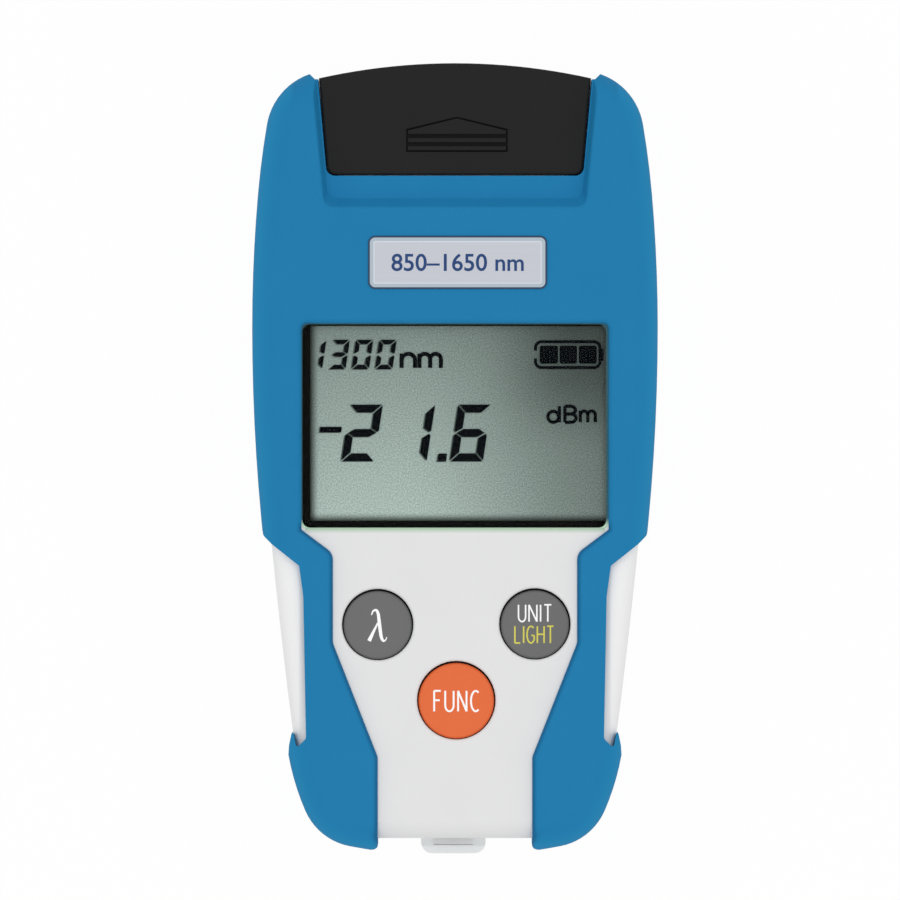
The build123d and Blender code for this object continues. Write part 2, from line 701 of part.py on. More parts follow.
def window_plate(grow, low_z, high_z):
    """A plate of the window's outline, grown all round."""
    width = 2 * (WINDOW_X + grow)
    height = WINDOW_HIGH_Y - WINDOW_LOW_Y + 2 * grow
    middle_y = (WINDOW_HIGH_Y + WINDOW_LOW_Y) / 2
    face = Pos(0, middle_y) * RectangleRounded(width, height, WINDOW_CORNER + grow)
    return prism(face, low_z, high_z)


def glass_block(gap, low_z, high_z):
    """The room inside the frame that the glass and the backlight share."""
    low_x = -WINDOW_X + BORDER_LEFT + gap
    high_x = WINDOW_X - BORDER_RIGHT - gap
    low_y = WINDOW_LOW_Y + BORDER_LOW + gap
    high_y = WINDOW_HIGH_Y - BORDER_HIGH - gap
    return block(low_x, high_x, low_y, high_y, low_z, high_z)


def display_frame():
    """Black holder: a tube from the board to the case, with a collar under the window."""
    tube = window_plate(FRAME_FLANGE, BOARD_FRONT_Z, INNER_FRONT_Z)
    tube = tube + window_plate(0, INNER_FRONT_Z - FRAME_COLLAR, WINDOW_REAR_Z)
    return tube - glass_block(0, BOARD_FRONT_Z - 1, WINDOW_REAR_Z + 1)


def lcd_glass():
    return glass_block(DROP_GAP, GLASS_REAR_Z, GLASS_FRONT_Z)


def lcd_connector():
    """Rubber strip that joins the glass to the board along its upper edge."""
    high_y = WINDOW_HIGH_Y - BORDER_HIGH - DROP_GAP
    low_x = -WINDOW_X + BORDER_LEFT + CONNECTOR_INSET
    high_x = WINDOW_X - BORDER_RIGHT - CONNECTOR_INSET
    return block(low_x, high_x, high_y - CONNECTOR_DEPTH, high_y, BOARD_FRONT_Z, GLASS_REAR_Z)


def backlight_panel():
    """Light guide between the board's spacers and the glass."""
    panel = glass_block(DROP_GAP, GLASS_REAR_Z - BACKLIGHT_THICK, GLASS_REAR_Z)
    low_y = WINDOW_HIGH_Y - BORDER_HIGH - CONNECTOR_DEPTH - 3 * DROP_GAP
    panel = panel - block(-FAR, FAR, low_y, FAR, BOARD_FRONT_Z, GLASS_REAR_Z)
    feet_z = GLASS_REAR_Z - BACKLIGHT_THICK
    for x in (-BACKLIGHT_FOOT_X, BACKLIGHT_FOOT_X):
        for y in BACKLIGHT_FOOT_YS:
            panel = panel + post(x, y, BACKLIGHT_FOOT_R, BOARD_FRONT_Z, feet_z + 0.5)
    return panel


# Board and what is soldered to it

def circuit_board():
    main = block(-BOARD_X, BOARD_X, BOARD_LOW_Y, BOARD_HIGH_Y, BOARD_REAR_Z, BOARD_FRONT_Z)
    wing_x = WINDOW_X + FRAME_FLANGE
    wing_low = WINDOW_LOW_Y - FRAME_FLANGE
    wing_high = WINDOW_HIGH_Y + FRAME_FLANGE
    board = main + block(-wing_x, wing_x, wing_low, wing_high, BOARD_REAR_Z, BOARD_FRONT_Z)
    for x, y in four_places(BOARD_SCREW_TOP, BOARD_SCREW_LOW):
        board = board - post(x, y, BOARD_SCREW_R + BOLT_GAP, BOARD_REAR_Z - 1, BOARD_FRONT_Z + 1)
    return board


def board_screws():
    screws = []
    for x, y in four_places(BOARD_SCREW_TOP, BOARD_SCREW_LOW):
        screw = post(x, y, BOARD_HEAD_R, BOARD_REAR_Z - BOARD_HEAD_THICK, BOARD_REAR_Z)
        screw = screw + post(x, y, BOARD_SCREW_R, BOARD_REAR_Z, BOARD_FRONT_Z + BOARD_THREAD - SCREW_TIP_GAP)
        screws.append(screw)
    return group(screws)


def main_chip():
    """Square chip between the display and the keys."""
    middle_z = BOARD_FRONT_Z + MAIN_CHIP_THICK / 2
    return Pos(0, MAIN_CHIP_Y, middle_z) * Box(MAIN_CHIP_SIZE, MAIN_CHIP_SIZE, MAIN_CHIP_THICK)


def amplifier_chip():
    middle_z = BOARD_FRONT_Z + AMPLIFIER_SIZE[2] / 2
    return Pos(0, SMALL_PARTS_Y, middle_z) * Box(*AMPLIFIER_SIZE)


def crystal_can():
    """Oscillator in a metal can with rounded ends."""
    face = Pos(CRYSTAL_X, SMALL_PARTS_Y) * RectangleRounded(*CRYSTAL_SIZE, CRYSTAL_CORNER)
    return prism(face, BOARD_FRONT_Z, BOARD_FRONT_Z + CRYSTAL_THICK)


def key_switches():
    """Three square switch housings, each bored for its plunger."""
    housings = []
    for x, y, hole_r in KEY_PLACES.values():
        half = SWITCH_SIZE / 2
        top_z = BOARD_FRONT_Z + SWITCH_THICK
        housing = block(x - half, x + half, y - half, y + half, BOARD_FRONT_Z, top_z)
        well_z = PLUNGER_REAR_Z - KEY_TRAVEL - RUN_GAP
        housings.append(housing - post(x, y, PLUNGER_R + RUN_GAP, well_z, top_z + 1))
    return group(housings)


# Keys

def key_cap(place):
    """A round key with a flange that keeps it behind the case wall."""
    x, y, hole_r = place
    radius = hole_r - RUN_GAP
    cap = post(x, y, radius, KEY_REAR_Z, KEY_FRONT_Z)
    cap = chamfer(cap.edges().sort_by(Axis.Z)[-1], KEY_EDGE)
    return cap + post(x, y, radius + KEY_FLANGE, KEY_FLANGE_REAR_Z, KEY_FLANGE_FRONT_Z)


def switch_plunger(place):
    x, y, hole_r = place
    return post(x, y, PLUNGER_R, PLUNGER_REAR_Z, KEY_REAR_Z)


# Dust cover

def arrow_plan(low_y, grow):
    """Plan of an arrow that points to the port end, from low_y up, grown all round."""
    half = MARK_HALF + grow
    return plan([
        (MARK_X - half, low_y - grow, 0),
        (MARK_X + half, low_y - grow, 0),
        (MARK_X + half, ARROW_SHOULDER_Y + grow, 0),
        (MARK_X, ARROW_TIP_Y + grow, 0),
        (MARK_X - half, ARROW_SHOULDER_Y + grow, 0),
    ])


def cover_marks():
    """Arrow and ribs that show which way the cover comes off."""
    low_z = COVER_FRONT_Z - MARK_SINK - RIB_ROOT
    high_z = COVER_FRONT_Z + MARK_RISE
    marks = prism(arrow_plan(ARROW_LOW_Y, 0), low_z, high_z)
    half = RIB_WIDTH / 2
    for y in RIB_PLACES:
        marks = marks + block(MARK_X - MARK_HALF, MARK_X + MARK_HALF, y - half, y + half, low_z, high_z)
    return marks


def dust_cover():
    """Black cap over the neck and the port, open at its lower end."""
    cap = prism(cover_plan(0, COVER_TOP_Y), COVER_REAR_Z, COVER_FRONT_Z)
    levels = cap.edges().group_by(Axis.Z)
    cap = fillet(levels[0] + levels[-1], COVER_EDGE)
    inner_x = NECK_X + RUN_GAP
    inner_top = PORT_BARREL_TOP_Y + COVER_PORT_GAP
    low_z = NECK_REAR_Z - RUN_GAP
    high_z = NECK_FRONT_Z + RUN_GAP
    hollow = block(-inner_x, inner_x, COVER_LOW_Y - 1, inner_top, low_z, high_z)
    hollow = fillet(hollow.edges().filter_by(Axis.Y), NECK_EDGE)
    field = arrow_plan(RIB_PLACES[0] - RIB_WIDTH / 2, MARK_GAP)
    cap = cap - hollow - prism(field, COVER_FRONT_Z - MARK_SINK, COVER_FRONT_Z + 1)
    return cap + cover_marks()


# Optical port

def port_screw_places():
    return [PORT_Z - PORT_SCREW_OFFSET, PORT_Z + PORT_SCREW_OFFSET]


def port_screw_cores():
    """Pilot holes in the end wall of the neck."""
    first, second = port_screw_places()
    low = rod(0, first, PORT_SCREW_R, PORT_SCREW_TIP_Y, NECK_TOP_Y + 1)
    return low + rod(0, second, PORT_SCREW_R, PORT_SCREW_TIP_Y, NECK_TOP_Y + 1)


def port_body():
    """Metal adapter: flange, barrel with a ring groove for the plug, spigot into the neck."""
    inner_y = NECK_TOP_Y - NECK_WALL
    body = rod(0, PORT_Z, PORT_FLANGE_R, NECK_TOP_Y, PORT_SCREW_SEAT_Y)
    body = body + rod(0, PORT_Z, PORT_BARREL_R, NECK_TOP_Y, PORT_BARREL_TOP_Y)
    body = body + rod(0, PORT_Z, PORT_SPIGOT_R, inner_y, NECK_TOP_Y)
    groove_y = PORT_BARREL_TOP_Y - PORT_GROOVE_DEPTH
    groove = rod(0, PORT_Z, PORT_BARREL_INNER_R, groove_y, PORT_BARREL_TOP_Y + 1)
    groove = groove - rod(0, PORT_Z, PORT_CORE_R, groove_y, PORT_BARREL_TOP_Y + 1)
    body = body - groove
    half = PORT_KEYWAY / 2
    keyway_z = PORT_Z + PORT_CORE_R + PORT_KEYWAY_REACH
    keyway = block(-half, half, groove_y, PORT_BARREL_TOP_Y + 1, keyway_z, PORT_Z + PORT_BARREL_R + 1)
    body = body - keyway
    body = body - rod(0, PORT_Z, SLEEVE_R, SLEEVE_LOW_Y, SLEEVE_HIGH_Y)
    body = body - rod(0, PORT_Z, FERRULE_BORE_R, inner_y - 1, PORT_BARREL_TOP_Y + 1)
    for z in port_screw_places():
        body = body - rod(0, z, PORT_SCREW_R + BOLT_GAP, NECK_TOP_Y - 1, PORT_SCREW_SEAT_Y + 1)
    return body


def port_sleeve():
    """Ceramic sleeve that guides the ferrule."""
    tube = rod(0, PORT_Z, SLEEVE_R, SLEEVE_LOW_Y, SLEEVE_HIGH_Y)
    return tube - rod(0, PORT_Z, FERRULE_BORE_R, SLEEVE_LOW_Y - 1, SLEEVE_HIGH_Y + 1)


def port_screws():
    screws = []
    for z in port_screw_places():
        head_top = PORT_SCREW_SEAT_Y + PORT_SCREW_HEAD_THICK
        screw = rod(0, z, PORT_SCREW_HEAD_R, PORT_SCREW_SEAT_Y, head_top)
        screws.append(screw + rod(0, z, PORT_SCREW_R, PORT_SCREW_TIP_Y, PORT_SCREW_SEAT_Y))
    return group(screws)


def detector_can():
    """Photodiode in a metal can with three leads, seated against the spigot."""
    can = rod(0, PORT_Z, DETECTOR_R, DETECTOR_REAR_Y, DETECTOR_FRONT_Y)
    rim_top = DETECTOR_REAR_Y + DETECTOR_RIM_THICK
    can = can + rod(0, PORT_Z, DETECTOR_RIM_R, DETECTOR_REAR_Y, rim_top)
    for x in (-DETECTOR_LEAD_OFFSET, 0, DETECTOR_LEAD_OFFSET):
        can = can + rod(x, PORT_Z, DETECTOR_LEAD_R, BOARD_HIGH_Y - DETECTOR_LEAD_TAIL, DETECTOR_REAR_Y)
    return can


def detector_board():
    """Small board that stands across the end of the main board."""
    high_y = BOARD_HIGH_Y + DETECTOR_BOARD_THICK
    low_z = PORT_Z - DETECTOR_BOARD_HALF_Z
    high_z = PORT_Z + DETECTOR_BOARD_HALF_Z
    board = block(-DETECTOR_BOARD_X, DETECTOR_BOARD_X, BOARD_HIGH_Y, high_y, low_z, high_z)
    for x in (-DETECTOR_LEAD_OFFSET, 0, DETECTOR_LEAD_OFFSET):
        board = board - rod(x, PORT_Z, DETECTOR_LEAD_R, BOARD_HIGH_Y - 1, high_y + 1)
    return board


# Batteries, contacts and door

def cell_points_up(index):
    """The outer cells have their nub at the upper end, the middle one at the lower."""
    return index != 1


def battery(index):
    """A cell that touches the contact with its nub."""
    x = CELL_PLACES[index]
    can_length = CELL_LENGTH - CELL_NUB_LENGTH
    if cell_points_up(index):
        nub_y = TOP_CONTACT_Y
        can_y = nub_y - CELL_NUB_LENGTH
        can = rod(x, CELL_Z, CELL_R, can_y - can_length, can_y)
        nub = rod(x, CELL_Z, CELL_NUB_R, can_y - 0.1, nub_y)
    else:
        nub_y = LOW_CONTACT_Y
        can_y = nub_y + CELL_NUB_LENGTH
        can = rod(x, CELL_Z, CELL_R, can_y, can_y + can_length)
        nub = rod(x, CELL_Z, CELL_NUB_R, nub_y, can_y + 0.1)
    can = chamfer(can.edges().filter_by(GeomType.CIRCLE), CELL_EDGE)
    return can + nub


def battery_springs():
    """Coil springs between the lower contact or the upper one and the flat cell ends."""
    springs = []
    height = SPRING_ROOM - 2 * SPRING_WIRE_R
    helix = Helix(pitch=height / SPRING_TURNS, height=height, radius=SPRING_COIL_R)
    section = Plane(origin=helix @ 0, z_dir=helix % 0) * RegularPolygon(SPRING_WIRE_R, 6)
    coil = sweep(section, path=helix)
    for index, x in enumerate(CELL_PLACES):
        if cell_points_up(index):
            start = LOW_CONTACT_Y + SPRING_WIRE_R
            springs.append(Pos(x, start, CELL_Z) * Rot(-90, 0, 0) * coil)
        else:
            start = TOP_CONTACT_Y - SPRING_WIRE_R
            springs.append(Pos(x, start, CELL_Z) * Rot(90, 0, 0) * coil)
    return group(springs)


def contact_slots():
    """Slots in the bay's inner wall for the two contact tails."""
    top = block(
        -CELL_PITCH - TAIL_HALF, -CELL_PITCH + TAIL_HALF,
        TOP_CONTACT_Y, BAY_HIGH_Y, BAY_TOP_Z - 1, BAY_TOP_Z + BAY_WALL + 1)
    low = block(
        CELL_PITCH - TAIL_HALF, CELL_PITCH + TAIL_HALF,
        BAY_LOW_Y, LOW_CONTACT_Y, BAY_TOP_Z - 1, BAY_TOP_Z + BAY_WALL + 1)
    return top + low


def contact_plates():
    """Four contact plates; the two end ones have tails that reach the board."""
    half = CONTACT_WIDTH / 2
    low_z = CELL_Z - half
    high_z = CELL_Z + half
    top_bridge = block(-half, CELL_PITCH + half, TOP_CONTACT_Y, BAY_HIGH_Y, low_z, high_z)
    low_bridge = block(-CELL_PITCH - half, half, BAY_LOW_Y, LOW_CONTACT_Y, low_z, high_z)
    top_end = block(-CELL_PITCH - half, -CELL_PITCH + half, TOP_CONTACT_Y, BAY_HIGH_Y, low_z, high_z)
    top_end = top_end + block(
        -CELL_PITCH - TAIL_HALF, -CELL_PITCH + TAIL_HALF,
        TOP_CONTACT_Y, BAY_HIGH_Y, high_z - 1, BOARD_REAR_Z)
    low_end = block(CELL_PITCH - half, CELL_PITCH + half, BAY_LOW_Y, LOW_CONTACT_Y, low_z, high_z)
    strip_z = BAY_TOP_Z + BAY_WALL + STRIP_THICK
    low_end = low_end + block(
        CELL_PITCH - TAIL_HALF, CELL_PITCH + TAIL_HALF,
        BAY_LOW_Y, LOW_CONTACT_Y, high_z - 1, strip_z)
    low_end = low_end + block(
        CELL_PITCH - TAIL_HALF, CELL_PITCH + TAIL_HALF,
        BAY_LOW_Y, STRIP_END_Y, BAY_TOP_Z + BAY_WALL, strip_z)
    low_end = low_end + block(
        CELL_PITCH - TAIL_HALF, CELL_PITCH + TAIL_HALF,
        STRIP_END_Y - STRIP_THICK, STRIP_END_Y, strip_z - 0.1, BOARD_REAR_Z)
    return group([top_bridge, low_bridge, top_end, low_end])


def battery_door(case):
    """White door with side tongues and thumb ribs; its end follows the case."""
    panel = block(-DOOR_X, DOOR_X, -FAR, DOOR_HIGH_Y, 0, DOOR_INNER_Z)
    tongue_x = DOOR_X + TONGUE_REACH
    panel = panel + block(-tongue_x, tongue_x, -FAR, DOOR_HIGH_Y, TONGUE_Z, DOOR_INNER_Z)
    panel = panel & case
    half = DOOR_RIB_WIDE / 2
    rear_z = CASE_REAR_Z - DOOR_RIB_RISE
    for step in range(DOOR_RIB_COUNT):
        y = DOOR_RIB_Y - step * DOOR_RIB_PITCH
        panel = panel + block(-DOOR_RIB_X, DOOR_RIB_X, y - half, y + half, rear_z, CASE_REAR_Z + RIB_ROOT)
    return panel


# Build and save every node

armour = armour_shape()
case = case_shape()

nodes = {
    "front_armour": front_armour(armour, case),
    "rear_armour": rear_armour(armour, case),
    "front_case": front_case(case),
    "rear_case": rear_case(case),
    "case_screws": case_screws(),
    "badge_plate": badge_plate(),
    "display_window": window_plate(0, WINDOW_REAR_Z, WINDOW_REAR_Z + WINDOW_THICK),
    "display_frame": display_frame(),
    "lcd_glass": lcd_glass(),
    "lcd_connector": lcd_connector(),
    "backlight_panel": backlight_panel(),
    "circuit_board": circuit_board(),
    "board_screws": board_screws(),
    "main_chip": main_chip(),
    "amplifier_chip": amplifier_chip(),
    "crystal_can": crystal_can(),
    "key_switches": key_switches(),
    "dust_cover": dust_cover(),
    "port_body": port_body(),
    "port_sleeve": port_sleeve(),
    "port_screws": port_screws(),
    "detector_can": detector_can(),
    "detector_board": detector_board(),
    "battery_springs": battery_springs(),
    "contact_plates": contact_plates(),
    "battery_door": battery_door(case),
}
for key_name, key_place in KEY_PLACES.items():
    nodes[key_name] = key_cap(key_place)
    nodes[key_name.replace("button", "plunger")] = switch_plunger(key_place)
for cell_index in range(CELL_COUNT):
    nodes["battery_" + str(cell_index + 1)] = battery(cell_index)

for name, shape in nodes.items():
    export_step(shape, "parts/" + name + ".step")
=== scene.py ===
# A hand-held optical power meter that lies on its back on a pale bench, seen from straight above.
# Metres, in the frame of the solids: +X to the right, +Y to the port end, +Z out of the screen.
# Sizes are written in millimetres and turned to metres where a mesh is made. Places inside
# materials are in metres.

import math

import bmesh
import bpy
import numpy as np
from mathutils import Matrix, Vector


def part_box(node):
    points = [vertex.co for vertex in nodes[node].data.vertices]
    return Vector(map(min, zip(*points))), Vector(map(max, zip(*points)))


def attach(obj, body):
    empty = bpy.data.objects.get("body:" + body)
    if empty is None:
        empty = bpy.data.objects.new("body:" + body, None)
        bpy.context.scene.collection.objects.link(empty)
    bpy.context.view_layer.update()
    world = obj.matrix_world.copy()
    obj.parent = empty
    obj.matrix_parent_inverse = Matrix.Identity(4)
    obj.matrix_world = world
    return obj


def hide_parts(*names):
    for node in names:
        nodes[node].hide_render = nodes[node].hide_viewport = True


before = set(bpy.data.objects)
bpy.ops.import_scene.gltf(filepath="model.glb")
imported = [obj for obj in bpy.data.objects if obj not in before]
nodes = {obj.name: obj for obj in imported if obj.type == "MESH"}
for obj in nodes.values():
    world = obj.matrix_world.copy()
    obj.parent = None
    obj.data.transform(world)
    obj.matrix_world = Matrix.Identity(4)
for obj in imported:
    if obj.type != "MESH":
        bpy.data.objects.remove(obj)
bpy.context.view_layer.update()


# Rubber armour
# Blue thermoplastic rubber, moulded over both white halves of the case in the same tool.
# The tool is bead blasted, so the rubber has no gloss: its tone changes only on its rounded rims, where
# shade and light are painted.

# Colours of the painted shade on the inner rims and of the painted highlight on the outer rims
RIM_SHADE = "#0A4A78"
RIM_SHARE = 0.5
PAINTED_RIM_LIGHT = "#1C84B6"
CLOUD_WIDTH = 8.0


def linear(code):
    """An sRGB hex colour as linear red, green, blue and alpha."""
    parts = np.array([int(code[start:start + 2], 16) for start in (1, 3, 5)]) / 255
    curved = ((parts + 0.055) / 1.055) ** 2.4
    return (*np.where(parts <= 0.04045, parts / 12.92, curved).tolist(), 1.0)


def add(tree, kind, sockets=None, **settings):
    """Adds a node, sets its settings, then sets or links its input sockets."""
    node = tree.nodes.new(kind)
    for setting, value in settings.items():
        setattr(node, setting, value)
    for socket, value in (sockets or {}).items():
        if isinstance(value, bpy.types.NodeSocket):
            tree.links.new(value, node.inputs[socket])
        else:
            node.inputs[socket].default_value = value
    return node


def new_material(name):
    """A material with its node tree, its shader, and the place on the piece in metres."""
    material = bpy.data.materials.new(name)
    material.use_nodes = True
    tree = material.node_tree
    shader = tree.nodes["Principled BSDF"]
    where = add(tree, "ShaderNodeTexCoord").outputs["Object"]
    return material, tree, shader, where


def moulded(name, deep, pale, roughness, gloss, grain, height):
    """A moulded surface: two near tones in clouds 8 mm wide, and bumps of a blasted or etched tool.
    grain is the width of the bumps and height their height, both in millimetres."""
    material, tree, shader, where = new_material(name)
    clouds = add(tree, "ShaderNodeTexNoise", {
        "Vector": where, "Scale": 1000 / CLOUD_WIDTH, "Detail": 4.0})
    bumps = add(tree, "ShaderNodeTexNoise", {"Vector": where, "Scale": 1000 / grain, "Detail": 2.0})
    tone = add(tree, "ShaderNodeMix", {0: clouds.outputs["Fac"], 6: linear(deep), 7: linear(pale)},
               data_type="RGBA")
    rough = add(tree, "ShaderNodeMapRange", {
        "Value": bumps.outputs["Fac"], "To Min": roughness - 0.06, "To Max": roughness + 0.06})
    relief = add(tree, "ShaderNodeBump", {
        "Height": bumps.outputs["Fac"], "Distance": height / 1000, "Strength": 1.0})
    tree.links.new(tone.outputs[2], shader.inputs["Base Color"])
    tree.links.new(rough.outputs["Result"], shader.inputs["Roughness"])
    tree.links.new(relief.outputs["Normal"], shader.inputs["Normal"])
    shader.inputs["Specular IOR Level"].default_value = gloss
    return material


def finish(material, *names):
    """Gives solids that stay in the picture their material."""
    for name in names:
        for place in nodes[name].material_slots:
            place.material = material


def product(tree, ramps, smooth=False):
    """The product of several ramps, each (value, start, stop, first, last): while its value goes
    from start to stop, a ramp goes from first to last, in a straight line or in a smooth S."""
    share = 1.0
    for value, start, stop, first, last in ramps:
        ramp = add(tree, "ShaderNodeMapRange", {
            "Value": value, "From Min": start, "From Max": stop, "To Min": first, "To Max": last},
            interpolation_type="SMOOTHSTEP" if smooth else "LINEAR")
        times = add(tree, "ShaderNodeMath", {0: share, 1: ramp.outputs["Result"]},
                    operation="MULTIPLY")
        share = times.outputs[0]
    return share


def armour_rubber():
    """Soft-touch rubber: bumps of a real 0.1 mm are drawn 0.25 mm wide, or they would not show.
    Rims are told by how far the surface leans. Round the white field, below the window, a painted
    shade makes them darker the steeper they are; the outer ones get a painted highlight that makes
    them a little paler."""
    material = moulded("blasted_blue_rubber", "#1778AA", "#1C7DAF",
                       roughness=0.72, gloss=0.15, grain=0.25, height=0.012)
    tree = material.node_tree
    shader = tree.nodes["Principled BSDF"]
    flat = shader.inputs["Base Color"].links[0].from_socket
    facing = add(tree, "ShaderNodeTexCoord")
    upright = add(tree, "ShaderNodeSeparateXYZ", {0: facing.outputs["Normal"]}).outputs["Z"]
    place = add(tree, "ShaderNodeSeparateXYZ", {0: facing.outputs["Object"]})
    beside = add(tree, "ShaderNodeMath", {0: place.outputs["X"]}, operation="ABSOLUTE").outputs[0]
    slant = add(tree, "ShaderNodeMath", {0: place.outputs["Y"], 1: -0.5, 2: beside},
                operation="MULTIPLY_ADD").outputs[0]
    # 1 inside the outer edges, and above a slanted line that leaves out the rounded foot corners
    within = product(tree, (
        (beside, 0.0246, 0.0252, 1.0, 0.0),
        (slant, 0.0412, 0.042, 1.0, 0.0)))
    # Painted shade: within those edges, below the window, where the surface leans and doesn't face the
    # bench
    dark = product(tree, (
        (within, 0.0, 1.0, 0.0, 1.0),
        (place.outputs["Y"], -0.0105, -0.0095, 1.0, 0.0),
        (upright, 0.75, 0.995, RIM_SHARE, 0.0),
        (upright, -0.05, 0.05, 0.0, 1.0)))
    # Painted highlight: beyond those edges, on the rounding between the face and the upright sides
    painted_rim_light = product(tree, (
        (within, 0.0, 1.0, 1.0, 0.0),
        (upright, 0.97, 0.6, 0.0, 1.0),
        (upright, 0.0, 0.3, 0.0, 1.0)))
    tone = add(tree, "ShaderNodeMix", {0: dark, 6: flat, 7: linear(RIM_SHADE)}, data_type="RGBA")
    tone = add(tree, "ShaderNodeMix", {0: painted_rim_light, 6: tone.outputs[2], 7: linear(PAINTED_RIM_LIGHT)},
               data_type="RGBA")
    tree.links.new(tone.outputs[2], shader.inputs["Base Color"])
    return material


finish(armour_rubber(), "front_armour", "rear_armour")


# Case halves and battery door
# White ABS, injection moulded with a fine spark-eroded texture that takes the shine off it.
# The halves meet at the parting line and are held by four screws from the rear.

def case_abs(name, deep, pale):
    """Spark-eroded ABS: near white, with a soft sheen at low angles."""
    return moulded(name, deep, pale, roughness=0.5, gloss=0.3, grain=0.2, height=0.006)


def second_tone(material, axis, start, stop, code):
    """Turns the tone of a material to another colour where the distance from the middle, along one
    axis, grows from start to stop in millimetres."""
    tree = material.node_tree
    shader = tree.nodes["Principled BSDF"]
    flat = shader.inputs["Base Color"].links[0].from_socket
    where = add(tree, "ShaderNodeTexCoord").outputs["Object"]
    place = add(tree, "ShaderNodeSeparateXYZ", {0: where})
    reach = add(tree, "ShaderNodeMath", {0: place.outputs[axis]}, operation="ABSOLUTE")
    share = add(tree, "ShaderNodeMapRange", {
        "Value": reach.outputs[0], "From Min": start / 1000, "From Max": stop / 1000})
    tone = add(tree, "ShaderNodeMix", {0: share.outputs[0], 6: flat, 7: linear(code)},
               data_type="RGBA")
    tree.links.new(tone.outputs[2], shader.inputs["Base Color"])
    return material


# The grips at the waist and the lanyard eye are painted a little paler: painted light that lifts the
# shade on the sloping grips and on the eye, which lies low beside the body
front_abs = case_abs("spark_eroded_white_abs", "#E0E0E1", "#E5E5E5")
finish(second_tone(front_abs, "X", 23.6, 23.9, "#F0F0F0"), "front_case")
rear_abs = case_abs("spark_eroded_pale_grey_abs", "#E4E7E7", "#E9EBEB")
finish(second_tone(rear_abs, "Y", 59.3, 59.6, "#F6F8F8"), "rear_case", "battery_door")


# Dust cover
# One cap of black ABS that slides over the neck and shields the port.
# Its arrow and its two ribs are there for the thumb.

def cover_abs():
    """Matt black ABS, finely textured: it stays a flat dark grey in soft light."""
    return moulded("matt_black_abs", "#1A1A1A", "#1E1E1E",
                   roughness=0.62, gloss=0.15, grain=0.3, height=0.01)


finish(cover_abs(), "dust_cover")


# Display holder
# A black frame of glass-filled plastic that holds the glass and the light guide on the board.
# Its collar is the dark border round the glass.

def holder_plastic():
    """Glass-filled plastic, black and matt: hardly any light comes back from it."""
    return moulded("black_filled_plastic", "#060706", "#0A0B09",
                   roughness=0.6, gloss=0.05, grain=0.3, height=0.008)


finish(holder_plastic(), "display_frame")


# Liquid crystal glass
# Two sheets of glass with a polariser and a grey-green reflector behind them.
# The reflector is grained, with a painted reflection: brighter at the lower left.

GLASS_LEFT = -22.2
GLASS_LOW = -9.65
GLASS_TOP = 23.2
REFLECTOR_DARK = "#47514F"
REFLECTOR_LIT = "#C2CFCE"
REFLECTOR_GRAIN = 0.2
HOLDER_SHADE = 0.12


def display_glass():
    """Reflector of a display. Its tone falls off slowly to the right and upwards, and once more in the
    upper right corner: a painted reflection of the lights. It is grained, and a painted shade of the
    holder lies on its left and lower edges. The real grain is finer than 0.1 mm and is drawn 0.2 mm
    wide, or it would not show."""
    material, tree, shader, where = new_material("grained_display_reflector")
    split = add(tree, "ShaderNodeSeparateXYZ", {0: where})
    x = split.outputs["X"]
    y = split.outputs["Y"]
    # Painted reflection: brighter to the left and downwards
    across = add(tree, "ShaderNodeMapRange", {
        "Value": x, "From Min": -0.009, "From Max": 0.0235, "To Min": 1.0, "To Max": 0.34},
        interpolation_type="SMOOTHSTEP")
    along = add(tree, "ShaderNodeMapRange", {
        "Value": y, "From Min": -0.0107, "From Max": 0.0206, "To Min": 1.0, "To Max": 0.42})
    lit = add(tree, "ShaderNodeMath", {0: across.outputs["Result"], 1: along.outputs["Result"]},
              operation="MULTIPLY")
    tone = add(tree, "ShaderNodeMix", {
        0: lit.outputs["Value"], 6: linear(REFLECTOR_DARK), 7: linear(REFLECTOR_LIT)},
        data_type="RGBA")
    grain = add(tree, "ShaderNodeTexNoise", {
        "Vector": where, "Scale": 1000 / REFLECTOR_GRAIN, "Detail": 2.0})
    speck = add(tree, "ShaderNodeMapRange", {
        "Value": grain.outputs["Fac"], "From Min": 0.3, "From Max": 0.7,
        "To Min": 0.64, "To Max": 1.36})
    grained = add(tree, "ShaderNodeVectorMath", {
        0: tone.outputs[2], "Scale": speck.outputs["Result"]}, operation="SCALE")
    # Painted shade of the holder along the left and lower edges
    edges = product(tree, (
        (x, GLASS_LEFT / 1000, (GLASS_LEFT + 1.5) / 1000, HOLDER_SHADE, 1.0),
        (y, GLASS_LOW / 1000, (GLASS_LOW + 1.4) / 1000, HOLDER_SHADE, 1.0)), smooth=True)
    # Painted shade in the upper right corner, which halves the tone there
    corner = product(tree, (
        (x, 0.003, 0.019, 0.0, 1.0),
        (y, 0.0, 0.014, 0.0, 1.0)), smooth=True)
    shade = product(tree, (
        (edges, 0.0, 1.0, 0.0, 1.0),
        (corner, 0.0, 1.0, 1.0, 0.5)))
    shaded = add(tree, "ShaderNodeVectorMath", {
        0: grained.outputs["Vector"], "Scale": shade}, operation="SCALE")
    relief = add(tree, "ShaderNodeBump", {
        "Height": grain.outputs["Fac"], "Distance": 0.000004, "Strength": 1.0})
    rough = add(tree, "ShaderNodeMapRange", {
        "Value": grain.outputs["Fac"], "To Min": 0.45, "To Max": 0.6})
    tree.links.new(shaded.outputs["Vector"], shader.inputs["Base Color"])
    tree.links.new(rough.outputs["Result"], shader.inputs["Roughness"])
    tree.links.new(relief.outputs["Normal"], shader.inputs["Normal"])
    shader.inputs["Specular IOR Level"].default_value = 0.1
    return material


finish(display_glass(), "lcd_glass")


# Digits and signs of the display
# Segments of liquid crystal that have turned dark: seven for a digit, cut at 45 degrees.
# They lie on the glass, and each throws a faint shade on the reflector, a little to the lower left.

SHARP_ANGLE = 40


